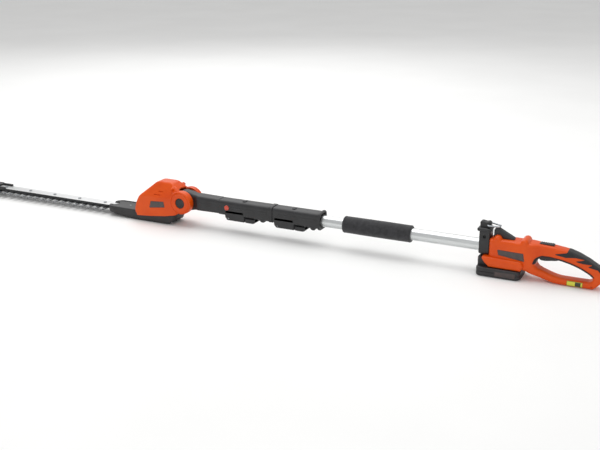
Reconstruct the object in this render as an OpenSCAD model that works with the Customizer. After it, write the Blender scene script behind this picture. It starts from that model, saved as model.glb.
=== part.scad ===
// Cordless telescopic pole hedge trimmer, pulled in to its shortest length.
// X runs along the pole: blade tip at -X, rear handle at +X. Y is across, Z is up.
// The origin is in the middle of the length and width, on the surface it stands on.

/* [Pole] */
// Outer diameter of the rear pole tube
tube_d = 30; // [26:0.5:32]
// Wall of the rear pole tube
tube_wall = 1.4; // [1:0.1:2]
// Wall of the middle pole tube
middle_wall = 1.5; // [1:0.1:2.2]
// Bare tube between the rear coupler and the foam grip
front_bare = 60; // [30:1:120]
// Length of the foam grip
grip_len = 183; // [120:1:240]
// Outer diameter of the foam grip
grip_d = 44; // [38:1:52]
// Bare tube between the foam grip and the strap bracket
rear_bare = 173; // [120:1:260]
// Length of rear tube held inside the handle
tube_hold = 32; // [20:1:34]

/* [Couplers] */
// Length of the rear coupler sleeve
rear_coupler_len = 139; // [136:1:180]
// Length of the front coupler sleeve
front_coupler_len = 164; // [150:1:200]
// Wall of a coupler sleeve at the side of its tube
sleeve_wall = 4.5; // [3.5:0.1:6]
// Length of a clamp lever, hinge boss to tail
lever_len = 83; // [70:1:90]
// Depth of a clamp lever
lever_h = 11.5; // [9:0.5:14]
// Diameter of a lever's hinge pin
lever_pin_d = 5; // [4:0.5:6]
// Diameter of the red release button
release_d = 14; // [10:0.5:16]

/* [Neck and pivot] */
// Distance from the tilt pivot to the front coupler
neck_len = 112; // [108:1:140]
// Height of the tilt pivot above the pole axis
pivot_rise = 2; // [0:0.5:4]
// Radius of the neck's knuckle
knuckle_r = 30; // [26:0.5:32]
// Thickness of the neck's knuckle
knuckle_w = 31.2; // [24:0.2:36]
// Diameter of the pivot axle
pivot_d = 12; // [8:1:16]
// Diameter of the tilt lock button
tilt_button_d = 28; // [24:1:32]

/* [Head] */
// Width of the head housing
head_w = 74; // [70:1:80]
// Front of the head housing, ahead of the pivot
head_front = 151; // [146:1:170]
// Top of the head housing above the pivot
head_top = 50; // [46:1:60]
// Wall of the head housing
head_wall = 3; // [2:0.5:3.5]
// Diameter of the drive motor
motor_d = 36; // [28:1:36]
// Height of the drive motor
motor_h = 66; // [50:1:68]
// Front of the gear case, ahead of the pivot
case_front = 252; // [240:1:300]
// Width of the gear case
case_w = 66; // [64:1:67]

/* [Blades] */
// Distance from tooth to tooth
tooth_pitch = 24.5; // [20:0.5:30]
// Teeth on each side
tooth_count = 17; // [10:1:20]
// Width over the tooth tips
blade_w = 75; // [60:1:76]
// Thickness of one blade
blade_t = 2; // [1.5:0.1:2.2]
// Width of the guide bar
bar_w = 32; // [28:1:36]
// Height of the guide bar
bar_h = 8; // [5:0.5:9]
// Throw of each blade from its middle position
throw = 7; // [5:0.5:8]

/* [Handle] */
// Length of the rear handle
handle_len = 277; // [272:1:300]
// Width of the handle body
body_w = 48; // [44:1:54]
// Width of the grip loop
loop_w = 34; // [30:1:38]
// Wall of the handle shells
shell_wall = 3; // [2.5:0.5:3.5]
// Depth of the pole axis above the surface it stands on
floor_drop = 67; // [66:0.5:74]

/* [Battery] */
// Length of the battery pack
battery_len = 111; // [106:1:120]
// Width of the battery pack
battery_w = 76; // [70:1:80]
// Height of the battery pack below the foot
battery_h = 23; // [22:0.5:26]

/* [Hidden] */
$fn = 64;

// Clearances
run_gap = 0.05;     // radial, shaft in a running bore
slide_gap = 0.3;    // between faces that slide past each other
part_gap = 0.5;     // between faces that only pass each other
eps = 0.01;

orange = "orangered";
black = [0.16, 0.16, 0.17];
steel = [0.62, 0.63, 0.65];

// Pole radii, each tube sliding over the next
tube_r = tube_d / 2;
middle_in_r = tube_r + run_gap;
middle_r = middle_in_r + middle_wall;
front_bore_r = middle_r + run_gap;

// Stations along the pole, measured from the handle's front face
bracket_len = 26;
grip_rear = -bracket_len - rear_bare;
grip_front = grip_rear - grip_len;
rear_coupler_end = grip_front - front_bare;
rear_coupler_start = rear_coupler_end - rear_coupler_len;
front_coupler_start = rear_coupler_start - front_coupler_len;
pivot_x = front_coupler_start - neck_len;
socket_depth = 64;
middle_front = front_coupler_start - socket_depth;
middle_hold = 60;
tube_front = middle_front + 10;

// Blade stations, measured from the pivot
tooth_root = 14;            // width of a tooth at the strip
first_tooth = case_front + tooth_root / 2 + throw + 1;
last_tooth = first_tooth + (tooth_count - 1) * tooth_pitch;
strip_end = last_tooth + 13;
bar_end = strip_end + 20;
guard_end = bar_end + 10;

// Whole object
x_min = pivot_x - guard_end;
x_max = handle_len;
x_mid = (x_min + x_max) / 2;

// ---------- helpers ----------

// Moves the pole axis and the handle's front face to their places
module placed() { translate([-x_mid, 0, floor_drop]) children(); }
// The head and neck are drawn around the tilt pivot
module at_pivot() { placed() translate([pivot_x, 0, pivot_rise]) children(); }
// Extrudes a side view, drawn in X and Z, between two Y values
module side(y0, y1) { translate([0, y1, 0]) rotate([90, 0, 0]) linear_extrude(y1 - y0) children(); }
// Extrudes a section, drawn in Z and Y, along X
module along_x(x0, x1) {
    translate([x0, 0, 0]) rotate([90, 0, 90]) linear_extrude(x1 - x0) children();
}
// A rod along Y, from y0 to y1
module y_rod(x, z, r, y0, y1) { translate([x, y1, z]) rotate([90, 0, 0]) cylinder(r = r, h = y1 - y0); }
// A rod along X, from x0 to x1
module x_rod(r, x0, x1) { translate([x0, 0, 0]) rotate([0, 90, 0]) cylinder(r = r, h = x1 - x0); }
// Keeps the left half, at -Y, or the right half, at +Y
module half(s) {
    intersection() {
        children();
        translate([-2000, s < 0 ? -100 : 0, -300]) cube([4000, 100, 600]);
    }
}
// Box from its two corners
module box(a, b) { translate(a) cube(b - a); }
// Pan-head screw along +Y from y0 to y1; recess opens its head's hole to the outside
screw_head_h = 2.5;
module y_screw(x, z, head_r, shank_r, y0, y1, recess = 0) {
    y_rod(x, z, head_r, y0 - recess, y0 + screw_head_h);
    y_rod(x, z, shank_r, y0, y1);
}

// Helical spring standing on Z, ends at 0 and len
function coil_point(r, wire, len, turns, i, n, j, m) =
    let (a = 360 * turns * i / n, b = 360 * j / m, w = wire / 2,
         z = w + (len - wire) * i / n)
    [(r + w * cos(b)) * cos(a), (r + w * cos(b)) * sin(a), z + w * sin(b)];
module coil(r, wire, len, turns) {
    n = turns * 18;
    m = 8;
    points = [for (i = [0:n], j = [0:m - 1]) coil_point(r, wire, len, turns, i, n, j, m)];
    sides = [for (i = [0:n - 1], j = [0:m - 1])
        [i * m + j, (i + 1) * m + j, (i + 1) * m + (j + 1) % m, i * m + (j + 1) % m]];
    first = [for (j = [0:m - 1]) j];
    last = [for (j = [0:m - 1]) n * m + m - 1 - j];
    polyhedron(points, concat([first], sides, [last]), convexity = 4);
}

// ---------- handle, drawn from its front face on the pole axis ----------

body_top = 25;
foot_z = battery_h + slide_gap - floor_drop;    // underside of the battery foot
foot_w = 66;
foot_front = -12;
foot_rear = 80;
loop_start = 110;           // where the body narrows to the grip loop
h_end = handle_len - 277;   // shift of the loop's rear end

module handle_outline() {
    offset(r = 4) offset(delta = -4) polygon([
        [0, -34], [0, body_top - 3], [3, body_top], [115, body_top], [150, 23.5], [185, 19],
        [208 + h_end, 12], [232 + h_end, 1], [256 + h_end, -13], [270 + h_end, -24], [277 + h_end, -31],
        [277 + h_end, -37], [270 + h_end, -43], [262 + h_end, -51], [254 + h_end, -60], [246 + h_end,
            -floor_drop],
        [167, -floor_drop], [150, 2 - floor_drop], [126, 9 - floor_drop], [102, 17 - floor_drop],
        [foot_rear + 8, foot_z], [20, foot_z]]);
}
module loop_opening() {
    offset(r = 5) offset(delta = -5) polygon([
        [110, -26], [114, -12], [125, -6], [144, -5.5], [167, -8], [190, -13], [213 + h_end, -20.5],
        [237 + h_end, -32.5], [246 + h_end, -42], [236 + h_end, 17.5 - floor_drop],
        [212 + h_end, 17 - floor_drop], [166, 17 - floor_drop], [142, 24 - floor_drop],
        [118, 33 - floor_drop]]);
}
// Soft black skin on the upper and rear limb, and along the loop's top
skin_t = 2;
module skin_outline() {
    intersection() {
        handle_outline();
        polygon([[151, 3], [172, 5.5], [196, 6], [199, 40], [290 + h_end, 40], [290 + h_end, -33],
            [268 + h_end, -32], [250 + h_end, -20], [262 + h_end, -19], [244 + h_end, -12],
            [226 + h_end, -8], [240 + h_end, -5], [222, -1], [190, -3]]);
    }
}
module lining_outline() {
    intersection() {
        difference() { offset(delta = skin_t) loop_opening(); loop_opening(); }
        polygon([[105, -24], [105, 20], [262 + h_end, 20], [262 + h_end, -38], [200, -30], [130, -20]]);
    }
}
module skin_solid() {
    difference() {
        side(-loop_w / 2, loop_w / 2) skin_outline();
        side(skin_t - loop_w / 2, loop_w / 2 - skin_t) offset(delta = -skin_t) handle_outline();
    }
    side(skin_t - loop_w / 2, loop_w / 2 - skin_t) lining_outline();
}
badge_t = 1;
module handle_badge_outline() { polygon([[21, 1], [83, 0], [87, -20], [24, -12]]); }
handle_bosses = [[19, 24], [84, 24], [97, -36], [200, 5], [258 + h_end, -40], [160, -59]];
boss_r = 4.5;
screw_head_r = 3.2;
screw_r = 1.7;
front_boss_r = 10;

// Trigger hinge and slot
trigger_x = 170;
trigger_z = 1;
trigger_w = 14;
trigger_pin_r = 2.5;
trigger_boss_r = 5;
trigger_slot = [113, 178];
// Lock-off button slot
lock_x = [116, 150];
lock_w = 14;
lock_foot = 20;             // underside of the button
switch_top = 12;
// Battery rail
rail_step = foot_z + 3.7;
rail_top = rail_step + 4;
rail_w = 48;
rail_neck_w = 36;
rail_x = [foot_front - 4, 76];

module foot_outline() {
    polygon([[-17, -18], [80, -20], [86, -30], [foot_rear, foot_z], [4, foot_z], [-9, -32]]);
}
module handle_solid() {
    side(-body_w / 2, body_w / 2) intersection() {
        handle_outline();
        translate([-20, -100]) square([loop_start + 20, 200]);
    }
    side(-loop_w / 2, loop_w / 2) difference() { handle_outline(); loop_opening(); }
    side(-foot_w / 2, foot_w / 2) foot_outline();
    // Screw bosses standing up from the top
    for (p = [handle_bosses[0], handle_bosses[1]])
        y_rod(p[0], p[1], front_boss_r, 2 - body_w / 2, body_w / 2 - 2);
}
module handle_hollow() {
    inner_body = body_w / 2 - shell_wall;
    inner_loop = loop_w / 2 - shell_wall;
    // Main hollow, closed at the front by the wall that holds the tube
    side(-inner_body, inner_body) intersection() {
        offset(delta = -shell_wall) handle_outline();
        translate([tube_hold + 4, foot_z + 14]) square([loop_start - shell_wall - tube_hold - 4, 120]);
    }
    side(-inner_loop, inner_loop) difference() {
        intersection() {
            offset(delta = -shell_wall - skin_t / 2) handle_outline();
            translate([loop_start - 8, -80]) square([400, 200]);
        }
        offset(delta = shell_wall + skin_t / 2) loop_opening();
    }
}
module handle_cuts() {
    // Tube socket
    x_rod(tube_r, -eps, tube_hold);
    x_rod(tube_r - tube_wall, tube_hold - eps, tube_hold + 6);
    // Trigger slot, lock-off slot
    box([trigger_slot[0], -trigger_w / 2 - slide_gap, -30], [trigger_slot[1], trigger_w / 2 + slide_gap, 0]);
    box([lock_x[0] - slide_gap, -lock_w / 2 - slide_gap, 10],
        [lock_x[1] + slide_gap, lock_w / 2 + slide_gap, 40]);
    // Battery rail channel, open at the front
    along_x(rail_x[0] - 20, rail_x[1] + part_gap) rail_section(slide_gap);
    // Contact block pocket and badge pockets
    box([contacts_x[0], -contacts_w / 2, rail_top], [contacts_x[1], contacts_w / 2, foot_z + 14 + eps]);
    for (s = [-1, 1])
        side(s > 0 ? body_w / 2 - badge_t : -body_w / 2 - eps, s > 0 ? body_w / 2 + eps
            : badge_t - body_w / 2)
            handle_badge_outline();
}
// Rail section in Y and Z: a head on a narrower neck, grown by g for its channel
module rail_section(g) {
    translate([-rail_w / 2 - g, rail_step - g]) square([rail_w + 2 * g, rail_top - rail_step + 2 * g]);
    translate([-rail_neck_w / 2 - g, foot_z - 2]) square([rail_neck_w + 2 * g, rail_step - foot_z + 4]);
}
module handle_boss(p, half_w) { y_rod(p[0], p[1], boss_r, -half_w, half_w); }
function boss_half(p) = (p[0] < loop_start ? body_w : loop_w) / 2;
module handle_screw_set(recess) {
    mirror([0, 1, 0]) for (p = handle_bosses) {
        w = boss_half(p) - (p[1] > 20 ? 2 : 0);
        y_screw(p[0], p[1], screw_head_r, screw_r, 0.4 - w, w - 5, recess);
    }
}
module handle_half(s) {
    half(s) difference() {
        union() {
            difference() { handle_solid(); handle_hollow(); }
            for (p = handle_bosses) handle_boss(p, boss_half(p) - 1);
            y_rod(trigger_x, trigger_z, trigger_boss_r, trigger_w / 2 + 6, loop_w / 2 - 1);
            y_rod(trigger_x, trigger_z, trigger_boss_r, 1 - loop_w / 2, -trigger_w / 2 - slide_gap);
        }
        handle_cuts();
        skin_solid();
        handle_screw_set(10);
        y_rod(trigger_x, trigger_z, trigger_pin_r, 3 - loop_w / 2, loop_w / 2 - 3);
    }
}
module handle_left() { color(orange) placed() handle_half(-1); }
module handle_right() { color(orange) placed() handle_half(1); }
module grip_overmould() {
    color(black) placed() difference() {
        skin_solid();
        handle_screw_set(10);
        box([trigger_slot[0], -trigger_w / 2 - slide_gap, -30], [trigger_slot[1],
            trigger_w / 2 + slide_gap, 0]);
    }
}
module handle_screws() { color(steel) placed() handle_screw_set(0); }
module handle_badges() {
    color(black) placed() for (s = [-1, 1])
        side(s > 0 ? body_w / 2 - badge_t : 0.4 - body_w / 2, s > 0 ? body_w / 2 - 0.4 : badge_t - body_w / 2)
            handle_badge_outline();
}
label_t = 0.4;
module safety_label() {
    color("gold") placed() translate([205, -loop_w / 2, 8.5 - floor_drop])
        rotate([90, 0, 0]) linear_extrude(label_t) square([36, 12], center = true);
}
module switch_body() {
    color(black) placed() {
        box([128, -6, 7.5], [156, 6, switch_top]);
        box([134, -2, 6.5], [138, 2, 7.5]);
    }
}
board_y = 8;
module control_board() {
    color("darkgreen") placed() {
        box([42, board_y, -20], [100, board_y + 1.6, 14]);
        for (x = [50:12:86]) box([x, board_y - 5, -12], [x + 8, board_y, -4]);
    }
}
contacts_x = [32, 58];
contacts_w = 30;
module battery_contacts() {
    color(black) placed()
        box([contacts_x[0], -contacts_w / 2, rail_top + slide_gap], [contacts_x[1], contacts_w / 2,
            foot_z + 14]);
}
module trigger() {
    color(black) placed() difference() {
        union() {
            side(-trigger_w / 2, trigger_w / 2) offset(r = 2) offset(delta = -2)
                polygon([[117, -13], [122, -16], [132, -16], [158, -12], [172, -7], [175, 2], [168, 5],
                    [120, -1]]);
            y_rod(trigger_x, trigger_z, trigger_boss_r, -trigger_w / 2, trigger_w / 2);
        }
        y_rod(trigger_x, trigger_z, trigger_pin_r + run_gap, -trigger_w, trigger_w);
    }
}
module trigger_pin() {
    color(steel) placed() y_rod(trigger_x, trigger_z, trigger_pin_r, 3 - loop_w / 2, loop_w / 2 - 3);
}
module trigger_spring() {
    color(steel) placed() translate([trigger_x, trigger_w / 2 + slide_gap, trigger_z]) rotate([-90, 0, 0])
        coil(r = trigger_pin_r + 0.9, wire = 0.9, len = 5, turns = 4);
}
module lock_off_button() {
    color(black) placed() box([lock_x[0], -lock_w / 2, lock_foot], [lock_x[1], lock_w / 2, body_top + 2.5]);
}
module lock_off_spring() {
    color(steel) placed() translate([145, 0, switch_top])
        coil(r = 3.5, wire = 0.8, len = lock_foot - switch_top, turns = 5);
}

// ---------- battery ----------

battery_front = foot_rear + 5 - battery_len;
battery_top = foot_z - slide_gap;
battery_floor = battery_top - battery_h;
battery_split = battery_floor + 12;
cell_r = 9;
latch_w = 24;
latch_z = [foot_z + 3.7, foot_z + 16.7];
latch_travel = 2.5;
module battery_plan(inset) {
    offset(r = 8) translate([battery_front + 8 + inset, 8 + inset - battery_w / 2])
        square([battery_len - 16 - 2 * inset, battery_w - 16 - 2 * inset]);
}
module hump_outline() {
    polygon([[battery_front, battery_top], [battery_front + 1, -24], [battery_front + 5, -20],
        [-18.5, -20], [-10.2, -32.4], [2.5, foot_z + 0.1], [2.5, battery_top]]);
}
module battery_upper() {
    color(black) placed() difference() {
        union() {
            translate([0, 0, battery_split]) linear_extrude(battery_top - battery_split) battery_plan(0);
            along_x(2, rail_x[1]) rail_section(0);
            side(-20, 20) hump_outline();
        }
        translate([0, 0, battery_split - eps]) linear_extrude(battery_top - battery_split - 2)
            battery_plan(3);
        box([battery_front - 1, -latch_w / 2 - slide_gap, latch_z[0] - slide_gap],
            [battery_front + 8, latch_w / 2 + slide_gap, latch_z[1] + slide_gap]);
    }
}
module battery_lower() {
    color(black) placed() difference() {
        translate([0, 0, battery_floor]) linear_extrude(battery_split - battery_floor) battery_plan(0);
        translate([0, 0, battery_floor + 2]) linear_extrude(battery_split - battery_floor)
            battery_plan(3);
    }
}
module battery_cells() {
    color("seagreen") placed() for (i = [0:4])
        y_rod(battery_front + battery_len / 2 + (i - 2) * (2 * cell_r + 1), battery_floor + 2 + cell_r,
            cell_r, -32, 32);
}
module battery_latch() {
    color([0.35, 0.05, 0.04]) placed()
        box([battery_front - 1.5, -latch_w / 2, latch_z[0]],
            [battery_front + 8 - latch_travel - part_gap, latch_w / 2, latch_z[1]]);
}

// ---------- rear pole ----------

lead_r = 7;
module pole_tube() {
    color(steel) placed() difference() {
        x_rod(tube_r, tube_front, tube_hold);
        x_rod(tube_r - tube_wall, tube_front - 1, tube_hold + 1);
    }
}
module foam_grip() {
    color(black) placed() difference() {
        x_rod(grip_d / 2, grip_front, grip_rear);
        x_rod(tube_r, grip_front - 1, grip_rear + 1);
    }
}
module coiled_lead() { color(black) placed() x_rod(lead_r, tube_front + 6, tube_hold + 5); }

// Strap bracket: a collar on the tube, a flared boss and a top block with the ring's eye
bracket_w = 36;
boss_z = [38, 47];
block_top = 62;
eye_block_half = 9;         // the ring's sides swing past it
eye_x = -8;
eye_z = 54;
ring_wire_r = 2;
module strap_bracket() {
    color(black) placed() difference() {
        union() {
            along_x(-bracket_len, 0) offset(r = 5) translate([5 - bracket_w / 2, -13])
                square([bracket_w - 10, boss_z[0] + 10]);
            side(-bracket_w / 2, bracket_w / 2) offset(r = 2)
                translate([-bracket_len - 5, boss_z[0] + 2]) square([bracket_len + 6,
                    boss_z[1] - boss_z[0] - 4]);
            side(-eye_block_half, eye_block_half) polygon([[-bracket_len, boss_z[0]],
                [-bracket_len - 2, block_top - 3],
                [-bracket_len + 2, block_top], [-14, block_top - 2], [-6, block_top], [-2, block_top - 3],
                [-1, boss_z[0]]]);
        }
        x_rod(tube_r, -bracket_len - 10, 10);
        y_rod(eye_x, eye_z, ring_wire_r + run_gap, -40, 40);
        y_screw(-bracket_len / 2, bracket_screw_z, 4, 2, -bracket_w / 2, bracket_w / 2 - 4, 5);
    }
}
bracket_screw_z = 26;
module bracket_screw() {
    color(steel) placed() y_screw(-bracket_len / 2, bracket_screw_z, 4, 2, -bracket_w / 2, bracket_w / 2 - 4);
}
// Strap rest: a wedge on the handle's top, rising to a rounded nose
module strap_rest() {
    color(black) placed() difference() {
        side(-9, 9) offset(r = 2) offset(delta = -2)
            polygon([[7, 20], [7, 44], [12, 50], [17, 49], [57, 28], [57, 20]]);
        handle_solid();
    }
}
// Triangular wire ring through the bracket's eye
ring_half = 15;
ring_reach = 28;
ring_tip_half = 7;
ring_tilt = 4;              // how far the ring hangs below level, in degrees
module ring_path() {
    polygon([[0, -ring_half], [0, ring_half], [ring_reach, ring_tip_half], [ring_reach, -ring_tip_half]]);
}
module strap_ring() {
    band = ring_wire_r - 0.1;
    color(steel) placed() translate([eye_x, 0, eye_z]) rotate([0, ring_tilt, 0]) {
        y_rod(0, 0, ring_wire_r, -ring_half - 0.5, ring_half + 0.5);
        translate([0, 0, 0.3 - ring_wire_r]) linear_extrude(2 * ring_wire_r - 0.6) difference() {
            offset(r = band, $fn = 24) ring_path();
            offset(delta = -band) ring_path();
            // Opens the band over the crossbar, just past the band's inner edge
            translate([-5, 3 - ring_half]) square([5 + band + 0.05, 2 * ring_half - 6]);
        }
    }
}

// ---------- couplers, drawn from the front of their clamp block on the pole axis ----------

sleeve_top = 22.5;
sleeve_bottom = -19;
block_z = sleeve_bottom - 0.5 - lever_h;    // underside of block and lever
lever_pin = [12, sleeve_bottom - 6];
lever_boss_r = 5.6;
skirt_end = 60;
lever_end = 6 + lever_len;
block_w = 2 * (front_bore_r + sleeve_wall);
skirt_in = 17;
module sleeve_section(grow) {
    offset(r = 9 + grow) translate([9 - block_w / 2, sleeve_bottom + 9])
        square([block_w - 18, sleeve_top - sleeve_bottom - 18]);
}
// x0 and x1 are the sleeve's ends, ring_x the place of its end ring
module coupler_body(x0, x1, ring_x, ring_grow) {
    difference() {
        union() {
            along_x(x0, x1) sleeve_section(0);
            along_x(ring_x, x1) sleeve_section(ring_grow);
            // Clamp block with its front apron
            side(-block_w / 2, block_w / 2)
                polygon([[0, 0], [1, block_z + 8], [7, block_z], [skirt_end, block_z], [skirt_end, 0]]);
            // Finger foot behind the notch
            side(-16, 16) polygon([[lever_end + 7, -14], [lever_end + 14, -20], [lever_end + 19, -25],
                [lever_end + 27, -25], [lever_end + 32, -18], [lever_end + 32, -10]]);
            // Rib on top
            side(-8, 8) polygon([[46, 20], [49, 25], [56, 25], [61, 20]]);
        }
        // Lever channel and notch
        box([5.9, -skirt_in, block_z - 1], [skirt_end + 1, skirt_in, sleeve_bottom]);
        box([lever_end, -30, -40], [lever_end + 7, 30, -14]);
        y_rod(lever_pin[0], lever_pin[1], lever_pin_d / 2, -40, 40);
    }
}
module lever_body() {
    w = skirt_in - slide_gap;
    difference() {
        union() {
            y_rod(lever_pin[0], lever_pin[1], lever_boss_r, -w, w);
            side(-w, w) polygon([[lever_pin[0], sleeve_bottom - 0.4], [lever_end, sleeve_bottom - 0.4],
                [lever_end, block_z], [lever_pin[0], block_z + 0.4]]);
            side(0.5 - block_w / 2, block_w / 2 - 0.5) polygon([[skirt_end + 2, sleeve_bottom - 0.4],
                [lever_end, sleeve_bottom - 0.4], [lever_end, block_z + 2], [lever_end - 3, block_z - 0.5],
                [skirt_end + 2, block_z]]);
        }
        y_rod(lever_pin[0], lever_pin[1], lever_pin_d / 2 + run_gap, -40, 40);
        // Hollow underside
        box([24, 3 - w, block_z - 1], [lever_end - 8, w - 3, sleeve_bottom - 4]);
    }
}
module lever_pin_rod() { y_rod(lever_pin[0], lever_pin[1], lever_pin_d / 2, -block_w / 2, block_w / 2); }
rear_block = rear_coupler_start + 4;
front_block = front_coupler_start + 20;
module at_rear_block() { placed() translate([rear_block, 0, 0]) children(); }
module at_front_block() { placed() translate([front_block, 0, 0]) children(); }
module rear_coupler() {
    color(black) at_rear_block() difference() {
        coupler_body(-4, rear_coupler_len - 4, rear_coupler_len - 11, 3.5);
        x_rod(middle_r, -10, middle_hold - 4);
        x_rod(middle_in_r, middle_hold - 4 - eps, 300);
    }
}
module rear_lever() { color(black) at_rear_block() lever_body(); }
module rear_lever_pin() { color(steel) at_rear_block() lever_pin_rod(); }
module middle_tube() {
    color(steel) placed() difference() {
        x_rod(middle_r, middle_front, rear_coupler_start + middle_hold);
        x_rod(middle_in_r, middle_front - 1, rear_coupler_start + middle_hold + 1);
    }
}
// Red release button in the front coupler's left side
release = [7, 4];
release_travel = 2;
module front_coupler() {
    color(black) at_front_block() difference() {
        coupler_body(-20, front_coupler_len - 20, front_coupler_len - 32, 1.5);
        x_rod(front_bore_r, -30, 300);
        y_rod(release[0], release[1], release_d / 2 + run_gap, -40, 0);
    }
}
module front_lever() { color(black) at_front_block() lever_body(); }
module front_lever_pin() { color(steel) at_front_block() lever_pin_rod(); }
module release_button() {
    inner = -front_bore_r - release_travel - slide_gap;
    color("red") at_front_block() y_rod(release[0], release[1], release_d / 2, -block_w / 2 - 2.5, inner);
}

// ---------- neck, drawn around the tilt pivot ----------

washer_t = 0.9;
cheek_in = knuckle_w / 2 + washer_t + 2 * slide_gap;     // inner face of the head's cheeks
neck_mid = 1;
neck_half_h = 21;
neck_half_w = block_w / 2 - 0.5;
neck_wide_from = knuckle_r + 5;
neck_screw_at = [[46, 16.5], [96, 18.5], [39, -12]];
module neck_side_outline() {
    circle(r = knuckle_r, $fn = 96);
    polygon([[0, knuckle_r], [neck_wide_from, neck_mid + neck_half_h + 1], [neck_len,
        neck_mid + neck_half_h - 1],
        [neck_len, neck_mid - neck_half_h + 1], [neck_wide_from, neck_mid - neck_half_h], [0,
            -knuckle_r + 6]]);
}
module neck_half(s) {
    half(s) difference() {
        union() {
            side(-knuckle_w / 2, knuckle_w / 2) neck_side_outline();
            intersection() {
                side(-neck_half_w, neck_half_w) neck_side_outline();
                along_x(neck_wide_from, neck_len) translate([0, -pivot_rise]) offset(r = 10)
                    translate([10 - neck_half_w, neck_mid + pivot_rise + 10 - neck_half_h])
                        square([2 * neck_half_w - 20, 2 * neck_half_h - 20]);
            }
        }
        y_rod(0, 0, pivot_d / 2 + run_gap, -60, 60);
        translate([0, 0, -pivot_rise]) x_rod(front_bore_r, neck_len - socket_depth - 4, neck_len + 1);
        // Passage for the lead
        translate([0, 0, -pivot_rise]) x_rod(5, 10, neck_len);
        for (p = neck_screw_at)
            y_screw(p[0], p[1], 2.2, 1.2, 6 - neck_half_w, neck_half_w - 10, 10);
    }
}
module neck_left() { color(black) at_pivot() neck_half(-1); }
module neck_right() { color(black) at_pivot() neck_half(1); }
module neck_screws() {
    color(steel) at_pivot() for (p = neck_screw_at)
        y_screw(p[0], p[1], 2.2, 1.2, 6 - neck_half_w, neck_half_w - 10);
}
module pivot_washers() {
    color(steel) at_pivot() for (s = [-1, 1]) {
        y = s * (knuckle_w / 2 + slide_gap + washer_t / 2);
        difference() {
            y_rod(0, 0, 12, y - washer_t / 2, y + washer_t / 2);
            y_rod(0, 0, pivot_d / 2, y - 3, y + 3);
        }
    }
}

// ---------- head, drawn around the tilt pivot ----------

disc_r = knuckle_r + 2;
slot_r = knuckle_r + 1.5;
head_half_w = head_w / 2;
deck_top = -39;                                      // top of the gear case
bar_top = deck_top - 4;
bar_bottom = bar_top - bar_h;
blade_gap = 0.15;
upper_z = bar_bottom - blade_gap - blade_t;          // underside of the upper blade
lower_z = upper_z - blade_gap - blade_t;             // underside of the lower blade
skid_bottom = -floor_drop - pivot_rise;
case_rear = 22;
crank_x = -87;
gear_teeth = 48;
pinion_teeth = 12;
gear_module = 1;
motor_x = crank_x + gear_module * (gear_teeth + pinion_teeth) / 2;
gear_z = [deck_top + 2, deck_top + 8];
plate_z = [gear_z[1] + 0.6, gear_z[1] + 4];
head_screw_at = [[-134, -24], [-96, 20], [-28, 36], [-24, -33.5]];
head_boss_r = 3.5;

// Side view of the housing, inset all round; the disc at the pivot stays a true circle
module head_body_outline(inset) {
    f = -head_front;
    offset(delta = -inset) polygon([[f + 7, -52.5], [f + 1, -44], [f, -33], [f + 3, -22], [f + 8, -8],
        [f + 15, 4.5], [-91, head_top - 8], [-85, head_top - 3], [-78, head_top - 0.5], [-70, head_top],
        [-40, head_top], [-33, head_top - 2], [-8, 29], [-8, -29], [-14, -36], [-50, -43], [-100, -49]]);
}
module head_outline(inset) {
    head_body_outline(inset);
    circle(r = disc_r - inset, $fn = 96);
}
module head_hollow() {
    difference() {
        union() {
            head_body_outline(head_wall);
            translate([head_wall + 1 - head_front, -70]) square([head_front - 20 - head_wall, 36]);
        }
        circle(r = slot_r + head_wall, $fn = 96);
        translate([-15, -100]) square([100, 200]);
    }
}
module head_badge_outline() { polygon([[-95, -5], [-53, -2], [-50, -18], [-101, -25]]); }
module head_vents() {
    translate([-85, 14]) square([23, 2.6]);
    translate([-72, 23.5]) square([15, 2.2]);
}
module head_half(s) {
    half(s) difference() {
        union() {
            difference() {
                union() {
                    side(3 - head_half_w, head_half_w - 3) head_outline(0);
                    side(-head_half_w, head_half_w) head_outline(2.5);
                }
                side(head_wall - head_half_w, head_half_w - head_wall) head_hollow();
            }
            for (p = head_screw_at) y_rod(p[0], p[1], head_boss_r, 1 - head_half_w, head_half_w - 1);
        }
        // Room for the neck's knuckle between the cheeks
        side(-cheek_in, cheek_in) {
            circle(r = slot_r, $fn = 96);
            translate([-16, -60]) square([80, 120]);
        }
        // The gear case comes up inside the housing
        box([-case_front - 1, -case_w / 2 - 0.2, -90], [-case_rear + 2, case_w / 2 + 0.2, deck_top + 0.2]);
        y_rod(0, 0, pivot_d / 2, tilt_floor - 1, 60);
        y_rod(0, 0, axle_head_r, axle_head_y, 60);
        y_rod(0, 0, tilt_button_d / 2 + run_gap, -60, tilt_floor);
        side(-60, 60) head_vents();
        for (k = [-1, 1]) side(k > 0 ? head_half_w - badge_t : -head_half_w - 1,
            k > 0 ? head_half_w + 1 : badge_t - head_half_w) head_badge_outline();
        head_screw_set(10);
    }
}
module head_screw_set(recess) {
    mirror([0, 1, 0]) for (p = head_screw_at)
        y_screw(p[0], p[1], head_screw_head_r, head_screw_r, 3 - head_half_w, head_half_w - 6, recess);
}
head_screw_head_r = 2.6;
head_screw_r = 1.4;
axle_head_r = 11;
axle_head_y = head_half_w - 8;
tilt_floor = 12 - head_half_w;
tilt_travel = 4;
module head_left() { color(orange) at_pivot() head_half(-1); }
module head_right() { color(orange) at_pivot() head_half(1); }
module head_screws() { color(steel) at_pivot() head_screw_set(0); }
module head_badges() {
    color(black) at_pivot() for (k = [-1, 1]) side(k > 0 ? head_half_w - badge_t : 0.4 - head_half_w,
        k > 0 ? head_half_w - 0.4 : badge_t - head_half_w) head_badge_outline();
}
module pivot_axle() {
    color(steel) at_pivot() {
        y_rod(0, 0, pivot_d / 2, tilt_floor, axle_head_y + 1);
        y_rod(0, 0, axle_head_r, axle_head_y, head_half_w - 1);
    }
}
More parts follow.
